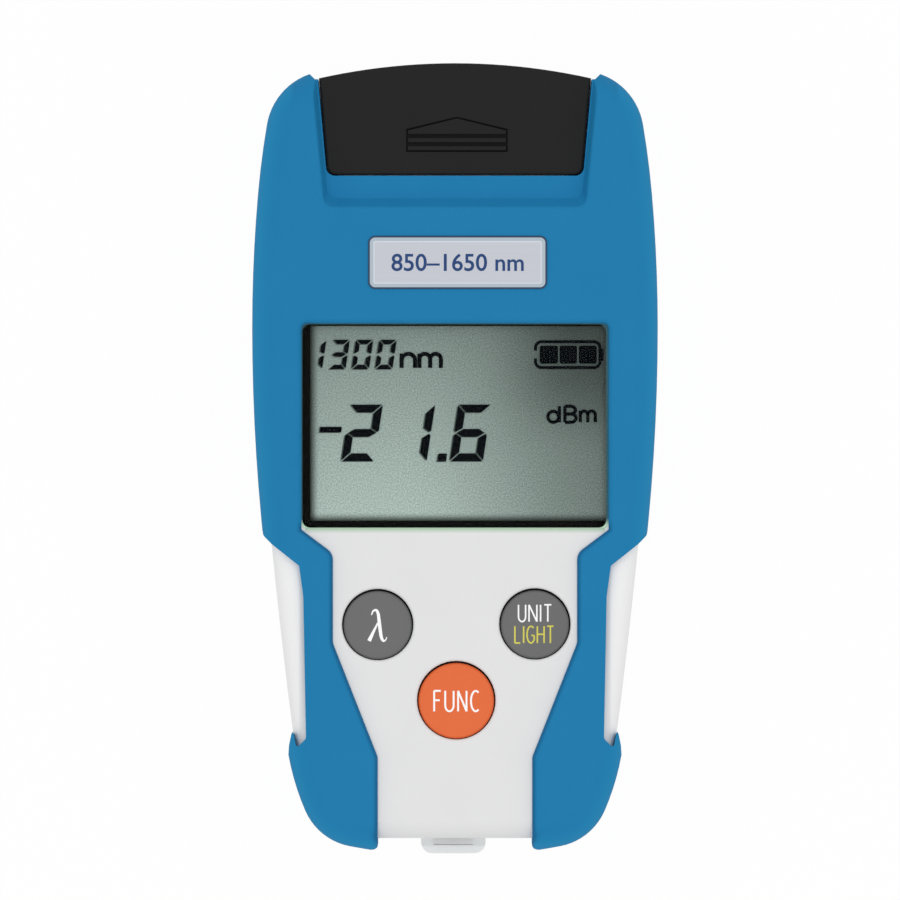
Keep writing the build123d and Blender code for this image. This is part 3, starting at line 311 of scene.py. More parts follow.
def surface(points, ring=True):
    """Vertices and four-sided faces of a grid (rows, columns, 3): every point is joined to the next
    row and the next column; with ring, the last column is joined to the first."""
    rows, columns = points.shape[:2]
    index = np.arange(rows * columns).reshape(rows, columns)
    if ring:
        index = np.hstack([index, index[:, :1]])
    corners = [index[:-1, :-1], index[:-1, 1:], index[1:, 1:], index[1:, :-1]]
    return points.reshape(-1, 3), np.stack(corners, axis=-1).reshape(-1, 4)


def piece(name, parts, material, body):
    """One named piece from several surfaces in millimetres. Points that coincide are merged,
    faces are turned outwards, and edges that turn by more than 40 degrees stay sharp."""
    points, faces, start = [], [], 0
    for part_points, part_faces in parts:
        points.append(part_points)
        faces.append(part_faces + start)
        start += len(part_points)
    mesh = bpy.data.meshes.new(name)
    mesh.from_pydata((np.vstack(points) / 1000).tolist(), [], np.vstack(faces).tolist())
    shape = bmesh.new()
    shape.from_mesh(mesh)
    bmesh.ops.remove_doubles(shape, verts=shape.verts, dist=1e-7)
    bmesh.ops.recalc_face_normals(shape, faces=shape.faces)
    shape.to_mesh(mesh)
    shape.free()
    mesh.shade_smooth()
    mesh.set_sharp_from_angle(angle=math.radians(SHARP_ANGLE))
    mesh.materials.append(material)
    made = bpy.data.objects.new(name, mesh)
    bpy.context.scene.collection.objects.link(made)
    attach(made, body)
    return made


def flat_plate(outline, low_z, high_z):
    """A plate with straight sides over a convex outline (points, 2): rows run from the middle of
    its top over the edge to the middle of its foot."""
    outline = np.asarray(outline, float)
    middle = np.broadcast_to(outline.mean(axis=0), outline.shape)
    rows = [(middle, high_z), (outline, high_z), (outline, low_z), (middle, low_z)]
    return surface(np.stack([np.column_stack([xy, np.full(len(xy), z)]) for xy, z in rows]))


def arc(centre_x, centre_y, radius_x, radius_y, start, stop, steps=12):
    """Points on part of an ellipse, from one angle to another in degrees: the centre plus each
    radius times the cosine or the sine of the angle."""
    angle = np.radians(np.linspace(start, stop, steps))
    return np.column_stack([centre_x + radius_x * np.cos(angle), centre_y + radius_y * np.sin(angle)])


def round_box(left, right, low, high, radius):
    """Outline of a box with rounded corners: four quarter circles, each round a point that lies one
    radius inside its corner."""
    corners = [(right - radius, high - radius, 0), (left + radius, high - radius, 90),
               (left + radius, low + radius, 180), (right - radius, low + radius, 270)]
    return np.vstack([arc(x, y, radius, radius, turn, turn + 90, 6) for x, y, turn in corners])


def stroke(path, width, z, height):
    """A printed line: a flat oval section carried along a path (points, 2), square to it. Each
    section reaches half the width times the cosine of an angle sideways, and the height times its
    sine up. width is one number or one for each point; the ends are closed."""
    path = np.asarray(path, float)
    run = np.gradient(path, axis=0)
    run /= np.linalg.norm(run, axis=1, keepdims=True)
    across = np.column_stack([-run[:, 1], run[:, 0]])
    angle = np.radians(np.arange(0, 360, 45))
    half = np.broadcast_to(np.asarray(width, float) / 2, len(path))
    sideways = half[:, None] * np.cos(angle)
    ring_xy = path[:, None, :] + across[:, None, :] * sideways[:, :, None]
    ring_z = np.broadcast_to(z + height * np.sin(angle), sideways.shape)
    rings = np.concatenate([ring_xy, ring_z[:, :, None]], axis=2)
    ends = [np.broadcast_to([*path[at], z], (1, len(angle), 3)) for at in (0, -1)]
    return surface(np.concatenate([ends[0], rings, ends[1]]))


SEGMENTS_OF = {"0": "abcdef", "1": "bc", "2": "abged", "3": "abgcd", "6": "acdefg"}
SEGMENT_GAP = 0.14
SLANT = 0.15
# Width, height and thickness of the segments of a digit
SMALL_DIGIT = (2.65, 4.5, 0.68)
LARGE_DIGIT = (5.05, 8.65, 1.2)
SMALL_LEFT = -22.95
SMALL_LOW = 13.61
SMALL_STEP = 3.58
LARGE_LOW = -0.45
# Left end and sign
LARGE_DIGITS = ((-17.36, "2"), (-9.37, "1"), (-0.78, "6"))
MINUS = [(-20.68, 3.95), (-17.4, 3.95), (-17.27, 4.8), (-20.58, 4.8)]
POINT = [(-2.67, -0.48), (-1.35, -0.48), (-1.22, 0.72), (-2.5, 0.72)]
BATTERY_BLOCKS = ((12.95, 15.75), (15.97, 18.65), (18.9, 21.65))
BLOCK_LOW = 14.44
BLOCK_HIGH = 17.2
BLOCK_RADIUS = 0.35
SHADE_TOP = GLASS_TOP + 0.05
SIGN_TOP = GLASS_TOP + 0.13
SIGN_RISE = 0.02
BATTERY_LINE = 0.46
NUB_LINE = 0.45
LENGTH_UNIT_LINE = 0.62
LEVEL_UNIT_LINE = 0.5
LEVEL_UNIT_LOW = 5.5
# Letter, left, right and upper end
LEVEL_UNIT = (("d", 14.2, 15.95, 7.95), ("B", 16.8, 18.5, 7.95), ("m", 19.15, 21.45, 7.25))


def segment_outlines(width, height, thick):
    """Outlines of the seven segments in an upright box, by letter. Ends are cut at 45 degrees and
    stand off from one another by the gap; the middle bar has a blunt point at both ends."""
    middle = height / 2
    half = thick / 2
    inner = thick + SEGMENT_GAP
    tip = 0.2 * thick + SEGMENT_GAP
    top = [(SEGMENT_GAP, height), (width - SEGMENT_GAP, height),
           (width - inner, height - thick), (inner, height - thick)]
    bar = [(tip, middle), (inner, middle + half), (width - inner, middle + half),
           (width - tip, middle), (width - inner, middle - half), (inner, middle - half)]
    left = [(0, height - SEGMENT_GAP), (thick, height - inner), (thick, middle + half + SEGMENT_GAP),
            (0.2 * thick, middle + SEGMENT_GAP), (0, middle + tip)]
    flipped_x = [(width - x, y) for x, y in left]
    return {
        "a": top,
        "b": flipped_x,
        "c": [(x, height - y) for x, y in flipped_x],
        "d": [(x, height - y) for x, y in top],
        "e": [(x, height - y) for x, y in left],
        "f": left,
        "g": bar,
    }


def digit_outlines(sign, left, low, width, height, thick):
    """Outlines of the dark segments of one digit, each point moved right by its height x slant."""
    outlines = segment_outlines(width, height, thick)
    made = []
    for letter in SEGMENTS_OF[sign]:
        xy = np.array(outlines[letter])
        made.append(np.column_stack([left + xy[:, 0] + SLANT * xy[:, 1], low + xy[:, 1]]))
    return made


def display_outlines():
    """Every dark plate of the display: wavelength, level with its minus and point, battery blocks."""
    made = []
    for place, sign in enumerate("1300"):
        made += digit_outlines(sign, SMALL_LEFT + SMALL_STEP * place, SMALL_LOW, *SMALL_DIGIT)
    for left, sign in LARGE_DIGITS:
        made += digit_outlines(sign, left, LARGE_LOW, *LARGE_DIGIT)
    made += [MINUS, POINT]
    for left, right in BATTERY_BLOCKS:
        made.append(round_box(left, right, BLOCK_LOW, BLOCK_HIGH, BLOCK_RADIUS))
    return made


def crystal_dark():
    """Darkened liquid crystal: near black with a cast of blue, a little uneven."""
    return moulded("darkened_liquid_crystal", "#05080C", "#0A0D12",
                   roughness=0.6, gloss=0.0, grain=0.5, height=0.001)


def crystal_shade():
    """Shade of the segments on the reflector: half way from the reflector to black."""
    return moulded("shade_on_reflector", "#56605F", "#5D6867",
                   roughness=0.6, gloss=0.1, grain=0.3, height=0.001)


def battery_sign():
    """Outline of the battery sign, open at the left where the level comes in, and its small nub."""
    left, right, low, high = 12.3, 22.15, 13.85, 17.8
    radius = 0.9
    upper = np.vstack([
        [(left, 16.45)],
        arc(left + radius, high - radius, radius, radius, 180, 90, 6),
        arc(right - radius, high - radius, radius, radius, 90, 0, 6),
    ])
    lower = np.vstack([
        [(left, 15.25)],
        arc(left + radius, low + radius, radius, radius, 180, 270, 6),
        arc(right - radius, low + radius, radius, radius, 270, 360, 6),
        [(right, high - radius)],
    ])
    nub = [(22.45, 14.9), (22.5, 15.8), (22.45, 16.75)]
    return [(upper, BATTERY_LINE), (lower, BATTERY_LINE), (nub, NUB_LINE)]


# Letters as centre lines in a box one wide and one high; a lower-case one reaches only as high as it is
LETTERS = {
    "B": [[(0, 0), (0, 1)], np.vstack([[(0, 1)], arc(0.5, 0.76, 0.45, 0.24, 90, -90), [(0, 0.52)]]),
          np.vstack([[(0, 0.52)], arc(0.55, 0.26, 0.45, 0.26, 90, -90), [(0, 0)]])],
    "C": [arc(0.6, 0.5, 0.6, 0.5, 55, 305, 20)],
    "F": [[(0, 0), (0, 1)], [(0, 1), (1, 1)], [(0, 0.54), (0.85, 0.54)]],
    "G": [np.vstack([arc(0.55, 0.5, 0.55, 0.5, 50, 300, 20), [(1, 0.2), (1, 0.45)]]),
          [(1, 0.45), (0.6, 0.45)]],
    "H": [[(0, 0), (0, 1)], [(1, 0), (1, 1)], [(0, 0.52), (1, 0.52)]],
    "I": [[(0.5, 0), (0.5, 1)]],
    "L": [[(0, 1), (0, 0)], [(0, 0), (1, 0)]],
    "N": [[(0, 0), (0, 1)], [(0, 1), (1, 0)], [(1, 0), (1, 1)]],
    "T": [[(0, 1), (1, 1)], [(0.5, 1), (0.5, 0)]],
    "U": [np.vstack([[(0, 1)], arc(0.5, 0.3, 0.5, 0.3, 180, 360), [(1, 1)]])],
    "d": [arc(0.47, 0.34, 0.47, 0.34, 0, 360, 24), [(1, 0), (1, 1)]],
    "m": [[(0, 0), (0, 1)], np.vstack([arc(0.25, 0.62, 0.25, 0.36, 180, 0), [(0.5, 0)]]),
          np.vstack([arc(0.75, 0.62, 0.25, 0.36, 180, 0), [(1, 0)]])],
    "n": [[(0, 0), (0, 1)], np.vstack([arc(0.5, 0.55, 0.5, 0.43, 180, 0), [(1, 0)]])],
}


def letter_strokes(letter, left, right, low, high):
    """Centre lines of a letter: the lower left corner of its box plus each point of the unit
    letter times the size of the box."""
    size = np.array([right - left, high - low])
    return [np.array([left, low]) + np.asarray(line, float) * size for line in LETTERS[letter]]


def word_strokes(word, left, right, low, high, widths, space):
    """Centre lines of a word from left to right. widths gives the width of each letter and space the
    gap, in one measure that is scaled so that the word fills its box."""
    total = sum(widths) + space * (len(word) - 1)
    scale = (right - left) / total
    lines, start = [], left
    for letter, width in zip(word, widths):
        lines += letter_strokes(letter, start, start + width * scale, low, high)
        start += (width + space) * scale
    return lines


def display_signs():
    """The dark plates and the lines of the display, as surfaces on the glass."""
    parts = [flat_plate(outline, GLASS_TOP - 0.01, SIGN_TOP) for outline in display_outlines()]
    for line, width in battery_sign():
        parts.append(stroke(line, width, SIGN_TOP, SIGN_RISE))
    for line in word_strokes("nm", -8.15, -2.15, 13.8, 16.0, [2.0, 3.2], 0.65):
        parts.append(stroke(line, LENGTH_UNIT_LINE, SIGN_TOP, SIGN_RISE))
    for letter, left, right, high in LEVEL_UNIT:
        for line in letter_strokes(letter, left, right, LEVEL_UNIT_LOW, high):
            parts.append(stroke(line, LEVEL_UNIT_LINE, SIGN_TOP, SIGN_RISE))
    return parts


def display_shades():
    """The same plates moved to the lower left by the depth of the glass, on the reflector."""
    shift = np.array([-0.2, -0.1])
    return [flat_plate(np.asarray(outline) + shift, GLASS_TOP - 0.01, SHADE_TOP)
            for outline in display_outlines()]


piece("display_signs", display_signs(), crystal_dark(), "meter")
piece("display_shades", display_shades(), crystal_shade(), "meter")


# Window
# A clear sheet of acrylic let into the case over the glass, fixed with a ring of adhesive.
# Its cut edge shows green: dark against the blue, and pale where white plastic lies under it, as
# painted light.

# Acrylic has 1.49, but so strong a mirror image of the lights would grey the dark digits
WINDOW_IOR = 1.12


def window_acrylic():
    """Polished clear acrylic, with wipe marks 11 mm wide: light passes straight through, and a
    little is thrown back at a slant."""
    material, tree, shader, where = new_material("polished_clear_acrylic")
    wipe = add(tree, "ShaderNodeTexNoise", {"Vector": where, "Scale": 90.0, "Detail": 3.0})
    polish = add(tree, "ShaderNodeMapRange", {
        "Value": wipe.outputs["Fac"], "To Min": 0.02, "To Max": 0.07})
    clear = add(tree, "ShaderNodeBsdfTransparent", {"Color": linear("#FBFDFB")})
    shine = add(tree, "ShaderNodeBsdfGlossy", {
        "Color": linear("#FFFFFF"), "Roughness": polish.outputs["Result"]})
    slant = add(tree, "ShaderNodeFresnel", {"IOR": WINDOW_IOR})
    both = add(tree, "ShaderNodeMixShader", {
        0: slant.outputs[0], 1: clear.outputs[0], 2: shine.outputs[0]})
    tree.links.new(both.outputs[0], tree.nodes["Material Output"].inputs["Surface"])
    tree.nodes.remove(shader)
    return material


finish(window_acrylic(), "display_window")


def band(outer, inner, low_z, high_z):
    """A flat ring between two outlines with as many points: rows run round its section."""
    rows = [(outer, high_z), (outer, low_z), (inner, low_z), (inner, high_z), (outer, high_z)]
    return surface(np.stack([np.column_stack([xy, np.full(len(xy), z)]) for xy, z in rows]))


def sawn_edge(name, deep, pale, code, start, stop, smoothest, roughest):
    """Two near tones in saw marks 1.1 mm wide, which turn to the colour of code while y goes from
    start to stop in millimetres. The marks also set the roughness, from smoothest to roughest."""
    material, tree, shader, where = new_material(name)
    along = add(tree, "ShaderNodeSeparateXYZ", {0: where}).outputs["Y"]
    turn = add(tree, "ShaderNodeMapRange", {
        "Value": along, "From Min": start / 1000, "From Max": stop / 1000})
    saw = add(tree, "ShaderNodeTexNoise", {"Vector": where, "Scale": 900.0, "Detail": 2.0})
    sawn = add(tree, "ShaderNodeMix", {0: saw.outputs["Fac"], 6: linear(deep), 7: linear(pale)},
               data_type="RGBA")
    tone = add(tree, "ShaderNodeMix", {
        0: turn.outputs["Result"], 6: sawn.outputs[2], 7: linear(code)}, data_type="RGBA")
    rough = add(tree, "ShaderNodeMapRange", {
        "Value": saw.outputs["Fac"], "To Min": smoothest, "To Max": roughest})
    tree.links.new(tone.outputs[2], shader.inputs["Base Color"])
    tree.links.new(rough.outputs["Result"], shader.inputs["Roughness"])
    return material


def edge_green():
    """Cut edge of acrylic: bottle green, painted pale along the foot: painted light of the case it
    carries.
    """
    return sawn_edge("cut_edge_of_acrylic", "#0F4F5E", "#1B6673", "#BFDDC3",
                     start=-9.2, stop=-10.2, smoothest=0.3, roughest=0.5)


def foot_glow():
    """Painted light from the cut edge on the white case below it: a pale green that fades within 0.8
    mm.
    """
    return sawn_edge("painted_green_light_on_white_abs", "#9FC1A1", "#A9C8AB", "#E2E2E2",
                     start=-10.7, stop=-11.5, smoothest=0.45, roughest=0.6)


EDGE_OUTER = round_box(-23.5, 23.5, -10.75, 20.65, 0.3)
EDGE_INNER = round_box(-23.3, 23.1, -10.6, 20.45, 1.15)
EDGE_LEVELS = (24.68, 24.72)
GLOW_OUTLINE = round_box(-22.9, 22.9, -11.4, -10.7, 0.1)
GLOW_LEVELS = (24.99, 25.01)

piece("window_edge", [band(EDGE_OUTER, EDGE_INNER, *EDGE_LEVELS)], edge_green(), "meter")
piece("window_foot_painted_light", [flat_plate(GLOW_OUTLINE, *GLOW_LEVELS)], foot_glow(), "meter")


# Badge
# A plate of thin aluminium, printed with a silver field inside a blue line, stuck on the armour.
# It carries the band of wavelengths that such a meter reads.

BADGE_X = 0.4
BADGE_Y = 29.9
BADGE_HALF_X = 13.65
BADGE_HALF_Y = 4.05
BADGE_RADIUS = 1.07
BADGE_TOP = 26.15
STEP_BLUR = 0.03
PRINT_THICK = 0.02


def badge_print():
    """Screen print on brushed aluminium. The reach, which is the distance from a box that is smaller
    by the corner radius, picks the colour: silver field, thin light line, grey band, blue line."""
    material, tree, shader, where = new_material("printed_brushed_aluminium")
    centred = add(tree, "ShaderNodeVectorMath", {
        0: where, 1: (BADGE_X / 1000, BADGE_Y / 1000, BADGE_TOP / 1000)}, operation="SUBTRACT")
    folded = add(tree, "ShaderNodeVectorMath", {0: centred.outputs[0]}, operation="ABSOLUTE")
    # The third number is larger than any height here, so height never counts
    box = ((BADGE_HALF_X - BADGE_RADIUS) / 1000, (BADGE_HALF_Y - BADGE_RADIUS) / 1000, 0.01)
    beyond = add(tree, "ShaderNodeVectorMath", {0: folded.outputs[0], 1: box}, operation="SUBTRACT")
    split = add(tree, "ShaderNodeSeparateXYZ", {0: beyond.outputs[0]})
    inside = add(tree, "ShaderNodeMath", {0: split.outputs["X"], 1: split.outputs["Y"]},
                 operation="MAXIMUM")
    inside = add(tree, "ShaderNodeMath", {0: inside.outputs[0], 1: 0.0}, operation="MINIMUM")
    corner = add(tree, "ShaderNodeVectorMath", {0: beyond.outputs[0], 1: (0.0, 0.0, 0.0)},
                 operation="MAXIMUM")
    corner = add(tree, "ShaderNodeVectorMath", {0: corner.outputs[0]}, operation="LENGTH")
    reach = add(tree, "ShaderNodeMath", {0: inside.outputs[0], 1: corner.outputs["Value"]},
                operation="ADD")
    # Brush lines 0.17 mm apart, along the long side of the plate
    brushed = add(tree, "ShaderNodeMapping", {"Vector": where, "Scale": (60.0, 6000.0, 60.0)})
    lines = add(tree, "ShaderNodeTexNoise", {
        "Vector": brushed.outputs[0], "Scale": 1.0, "Detail": 3.0})
    colour = add(tree, "ShaderNodeMix", {
        0: lines.outputs["Fac"], 6: linear("#BFC3CC"), 7: linear("#C7CAD2")},
        data_type="RGBA").outputs[2]
    steps = ((0.1, "#D6DAE3"), (0.25, "#ADBAC5"), (0.76, "#0C2F52"))
    for share, code in steps:
        limit = BADGE_RADIUS * share
        mask = add(tree, "ShaderNodeMapRange", {
            "Value": reach.outputs[0],
            "From Min": (limit - STEP_BLUR) / 1000, "From Max": (limit + STEP_BLUR) / 1000})
        colour = add(tree, "ShaderNodeMix", {0: mask.outputs[0], 6: colour, 7: linear(code)},
                     data_type="RGBA").outputs[2]
    relief = add(tree, "ShaderNodeBump", {"Height": lines.outputs["Fac"], "Distance": 0.000003})
    rough = add(tree, "ShaderNodeMapRange", {
        "Value": lines.outputs["Fac"], "To Min": 0.38, "To Max": 0.5})
    tree.links.new(colour, shader.inputs["Base Color"])
    tree.links.new(rough.outputs[0], shader.inputs["Roughness"])
    tree.links.new(relief.outputs[0], shader.inputs["Normal"])
    return material


finish(badge_print(), "badge_plate")


def lettering(name, text, width, centre, low_z, material, body):
    """Plain letters cut from the built-in face, made a mesh, fitted to a width and laid on a level:
    their back goes one thickness below it, their front one thickness above."""
    curve = bpy.data.curves.new(name, "FONT")
    curve.body = text
    curve.align_x = "CENTER"
    curve.align_y = "CENTER"
    curve.extrude = PRINT_THICK
    curve.resolution_u = 4
    curve.offset = 0.012
    made = bpy.data.objects.new(name + "_curve", curve)
    bpy.context.scene.collection.objects.link(made)
    bpy.context.view_layer.update()
    mesh = bpy.data.meshes.new_from_object(made)
    bpy.data.objects.remove(made)
    points = np.empty(len(mesh.vertices) * 3, np.float32)
    mesh.vertices.foreach_get("co", points)
    points = points.reshape(-1, 3)
    low, high = points.min(axis=0), points.max(axis=0)
    scale = width / (high[0] - low[0])
    middle = (low + high) / 2
    points[:, :2] = (points[:, :2] - middle[:2]) * scale + np.array(centre)
    points[:, 2] = np.where(points[:, 2] > middle[2], low_z + PRINT_THICK, low_z - PRINT_THICK)
    mesh.vertices.foreach_set("co", (points / 1000).ravel())
    mesh.materials.clear()
    mesh.materials.append(material)
    mesh.name = name
    made = bpy.data.objects.new(name, mesh)
    bpy.context.scene.collection.objects.link(made)
    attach(made, body)


def print_ink(name, deep, pale):
    """Screen-printing ink: a matt film, a little uneven where the mesh let it through."""
    return moulded(name, deep, pale, roughness=0.6, gloss=0.3, grain=0.15, height=0.002)


lettering("badge_numbers", "850–1650 nm", 20.2, (BADGE_X, BADGE_Y), BADGE_TOP,
          print_ink("navy_screen_ink", "#1A3D72", "#1F437A"), "meter")


# Keys
# Three silicone keys with hard caps, two grey and one orange, and a black ring in the gap below
# each cap, as painted shade.
# The caps stand a little below the face of the case and are printed with what they do.

KEY_TOP = 24.45
KEY_DROP = 0.1
KEY_GAP = 0.2
CAP_ROLL = 0.45
CAP_FOOT = 20.3
FLANGE_OUT = 0.6
FLANGE_TOP = 22.6
FLANGE_FOOT = 21.8
GAP_SHADE_RING_TOP = 23.9
GAP_SHADE_RING_FOOT = 23.1


def turned(profile, centre_x, centre_y, sides=72):
    """A profile of (radius, height) pairs turned round an upright axis: the centre plus the radius
    times the cosine and the sine of the turn, at the height of the pair."""
    profile = np.asarray(profile, float)
    angle = np.radians(np.arange(sides) * 360 / sides)
    x = centre_x + profile[:, :1] * np.cos(angle)
    y = centre_y + profile[:, :1] * np.sin(angle)
    z = np.broadcast_to(profile[:, 1:], x.shape)
    return surface(np.stack([x, y, z], axis=2))


def cap_profile(radius):
    """Flat top with a rolled rim, straight side, flange that keeps the key behind the case."""
    return np.vstack([
        [(0, KEY_TOP), (radius * 0.5, KEY_TOP)],
        arc(radius - CAP_ROLL, KEY_TOP - CAP_ROLL, CAP_ROLL, CAP_ROLL, 90, 0, 7),
        [(radius, FLANGE_TOP), (radius + FLANGE_OUT, FLANGE_TOP), (radius + FLANGE_OUT, FLANGE_FOOT),
         (radius, FLANGE_FOOT), (radius, CAP_FOOT), (0, CAP_FOOT)],
    ])


def gap_shade_ring_profile(radius, hole):
    """Thin black ring of silicone that closes most of the gap round the cap, as painted shade of the
    gap:
    a closed rectangle, from just inside the cap's side to just short of the hole's wall."""
    inner = radius - 0.2
    outer = hole - 0.03
    return [(inner, GAP_SHADE_RING_TOP), (outer, GAP_SHADE_RING_TOP), (outer, GAP_SHADE_RING_FOOT), (inner, GAP_SHADE_RING_FOOT),
            (inner, GAP_SHADE_RING_TOP)]


def key_finish(name, deep, pale):
    """Hard-coated silicone: even colour, a soft sheen, bumps of the finest tool texture."""
    return moulded(name, deep, pale, roughness=0.5, gloss=0.25, grain=0.2, height=0.003)


grey_key = key_finish("grey_hard_coated_silicone", "#696969", "#6D6D6D")
orange_key = key_finish("orange_hard_coated_silicone", "#E36936", "#E76F3D")
connector_and_gap_shade_rubber = moulded("black_silicone", "#070708", "#0B0B0C",
                       roughness=0.6, gloss=0.1, grain=0.3, height=0.004)

# Name, middle of the hole, its radius, finish and slot
KEYS = (
    ("wavelength", -11.8, -25.4, 5.45, grey_key, "key_grey"),
    ("unit", 12.2, -25.3, 5.45, grey_key, "key_grey"),
    ("function", 0.2, -36.95, 6.0, orange_key, "key_orange"),
)
for key, x, y, hole, material, slot in KEYS:
    radius = hole - KEY_GAP
    body = key + "_key"
    cap = piece(key + "_cap", [turned(cap_profile(radius), x, y - KEY_DROP)], material, body)
    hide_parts(key + "_button")
    # A black ring in the gap round the cap, as painted shade
    gap_shade_ring = turned(gap_shade_ring_profile(radius, hole), x, y)
    piece(key + "_gap_shade_ring", [gap_shade_ring], connector_and_gap_shade_rubber, "meter")


# Legends of the keys
# White and yellow ink, screen printed on the caps: thin condensed capitals and one Greek letter.
# The film is 0.03 mm thick and has soft edges.

white_ink = print_ink("white_screen_ink", "#FBFBFB", "#FFFFFF")
yellow_ink = print_ink("yellow_screen_ink", "#D3CB55", "#DCD45E")
INK_LINE = 0.24
BOLD_INK_LINE = 0.29
INK_RISE = 0.03


def legend(name, lines, width, material, body):
    """A word printed on a cap, with lines of one width."""
    parts = [stroke(line, width, KEY_TOP, INK_RISE) for line in lines]
    piece(name, parts, material, body)


def smooth_path(points, steps=10):
    """A curve through every point: on each stretch, the parabola through the point before and the
    two ends turns gradually into the parabola through the two ends and the point after."""
    points = np.asarray(points, float)
    ends = np.vstack([2 * points[0] - points[1], points, 2 * points[-1] - points[-2]])
    share = np.linspace(0, 1, steps, endpoint=False)[:, None]
    made = []
    for before, start, stop, after in zip(ends[:-3], ends[1:-2], ends[2:-1], ends[3:]):
        made.append(0.5 * (2 * start + (stop - before) * share
                           + (2 * before - 5 * start + 4 * stop - after) * share ** 2
                           + (3 * start - before - 3 * stop + after) * share ** 3))
    return np.vstack(made + [points[-1:]])


def lambda_strokes():
    """The Greek letter: a stem with a hook at its head and a curl at its foot, and a wedge-shaped leg.
    Columns are x, y and the width of the line."""
    stem = smooth_path([
        (-12.75, -23.95, 0.17), (-12.5, -23.35, 0.27), (-12.05, -23.2, 0.37), (-11.75, -23.7, 0.46),
        (-11.6, -24.7, 0.5), (-11.45, -26.0, 0.52), (-11.25, -27.3, 0.48), (-10.95, -27.88, 0.35),
        (-10.6, -27.75, 0.2), (-10.4, -27.3, 0.13)])
    leg = smooth_path([(-11.68, -24.95, 0.2), (-12.35, -26.3, 0.38), (-13.12, -27.9, 0.6)])
    return stem, leg


greek_lines = [stroke(line[:, :2], line[:, 2], KEY_TOP, INK_RISE) for line in lambda_strokes()]
piece("wavelength_legend", greek_lines, white_ink, "wavelength_key")
unit_lines = word_strokes("UNIT", 9.7, 14.72, -24.95, -22.38, [1.45, 1.6, 0.1, 1.45], 0.7)
legend("unit_legend", unit_lines, INK_LINE, white_ink, "unit_key")
light_lines = word_strokes("LIGHT", 9.15, 15.05, -28.22, -25.65, [1.2, 0.1, 1.6, 1.5, 1.4], 0.7)
legend("light_legend", light_lines, INK_LINE, yellow_ink, "unit_key")
function_lines = word_strokes("FUNC", -3.18, 3.65, -38.65, -35.52, [1.25, 1.6, 1.6, 1.5], 0.85)
legend("function_legend", function_lines, BOLD_INK_LINE, white_ink, "function_key")


# Light guide, contact strip and board
# Frosted acrylic behind the glass, a contact strip of layered carbon and silicone, and a green board
# of epoxy and glass cloth.
# None of it shows unless the case is opened.

light_guide = moulded("frosted_light_guide", "#E9EEF0", "#F2F5F6",
                      roughness=0.4, gloss=0.5, grain=0.4, height=0.01)
finish(light_guide, "backlight_panel")
finish(connector_and_gap_shade_rubber, "lcd_connector")


def board_laminate():
    """Solder mask over copper: green, with raised paler tracks 0.5 mm wide that run across and
    along, and a fine weave of glass, 0.7 mm wide, in its shine."""
    material, tree, shader, where = new_material("green_solder_mask")
    cells = add(tree, "ShaderNodeTexBrick", {
        "Vector": where, "Color1": linear("#1F5B34"), "Color2": linear("#24663B"),
        "Mortar": linear("#3A8450"), "Scale": 1.0, "Mortar Size": 0.00025,
        "Brick Width": 0.006, "Row Height": 0.0025})
    weave = add(tree, "ShaderNodeTexNoise", {"Vector": where, "Scale": 1500.0, "Detail": 1.0})
    relief = add(tree, "ShaderNodeBump", {"Height": cells.outputs["Fac"], "Distance": 0.00003})
    rough = add(tree, "ShaderNodeMapRange", {
        "Value": weave.outputs["Fac"], "To Min": 0.25, "To Max": 0.4})
    tree.links.new(cells.outputs["Color"], shader.inputs["Base Color"])
    tree.links.new(rough.outputs[0], shader.inputs["Roughness"])
    tree.links.new(relief.outputs[0], shader.inputs["Normal"])
    return material


finish(board_laminate(), "circuit_board", "detector_board")
chip_epoxy = moulded("black_moulding_epoxy", "#1A1A1B", "#202021",
                     roughness=0.6, gloss=0.4, grain=0.15, height=0.006)
finish(chip_epoxy, "main_chip", "amplifier_chip")
switch_housing = moulded("black_switch_housing", "#161617", "#1C1C1D",
                         roughness=0.5, gloss=0.4, grain=0.2, height=0.005)
finish(switch_housing, "key_switches")
acetal = moulded("natural_acetal", "#DAD8D0", "#E2E0D8",
                 roughness=0.45, gloss=0.4, grain=0.2, height=0.004)
finish(acetal, "wavelength_plunger", "unit_plunger", "function_plunger")


# Metal parts
# Turned and nickel-plated brass for the port, drawn steel cans, zinc-plated screws, nickel contacts.
# Turning and drawing leave fine scratches, and nickel has a warm grey, zinc a cold one.

def metal(name, deep, pale, roughness, grain, height):
    """A plated metal: two near tones in clouds 3 mm wide, and scratches. grain is their width and
    height their depth, both in millimetres."""
    material, tree, shader, where = new_material(name)
    clouds = add(tree, "ShaderNodeTexNoise", {"Vector": where, "Scale": 300.0, "Detail": 4.0})
    marks = add(tree, "ShaderNodeTexNoise", {"Vector": where, "Scale": 1000 / grain, "Detail": 3.0})
    tone = add(tree, "ShaderNodeMix", {0: clouds.outputs["Fac"], 6: linear(deep), 7: linear(pale)},
               data_type="RGBA")
    rough = add(tree, "ShaderNodeMapRange", {
        "Value": marks.outputs["Fac"], "To Min": roughness - 0.08, "To Max": roughness + 0.08})
    relief = add(tree, "ShaderNodeBump", {"Height": marks.outputs["Fac"], "Distance": height / 1000})
    tree.links.new(tone.outputs[2], shader.inputs["Base Color"])
    tree.links.new(rough.outputs[0], shader.inputs["Roughness"])
    tree.links.new(relief.outputs[0], shader.inputs["Normal"])
    shader.inputs["Metallic"].default_value = 1.0
    return material


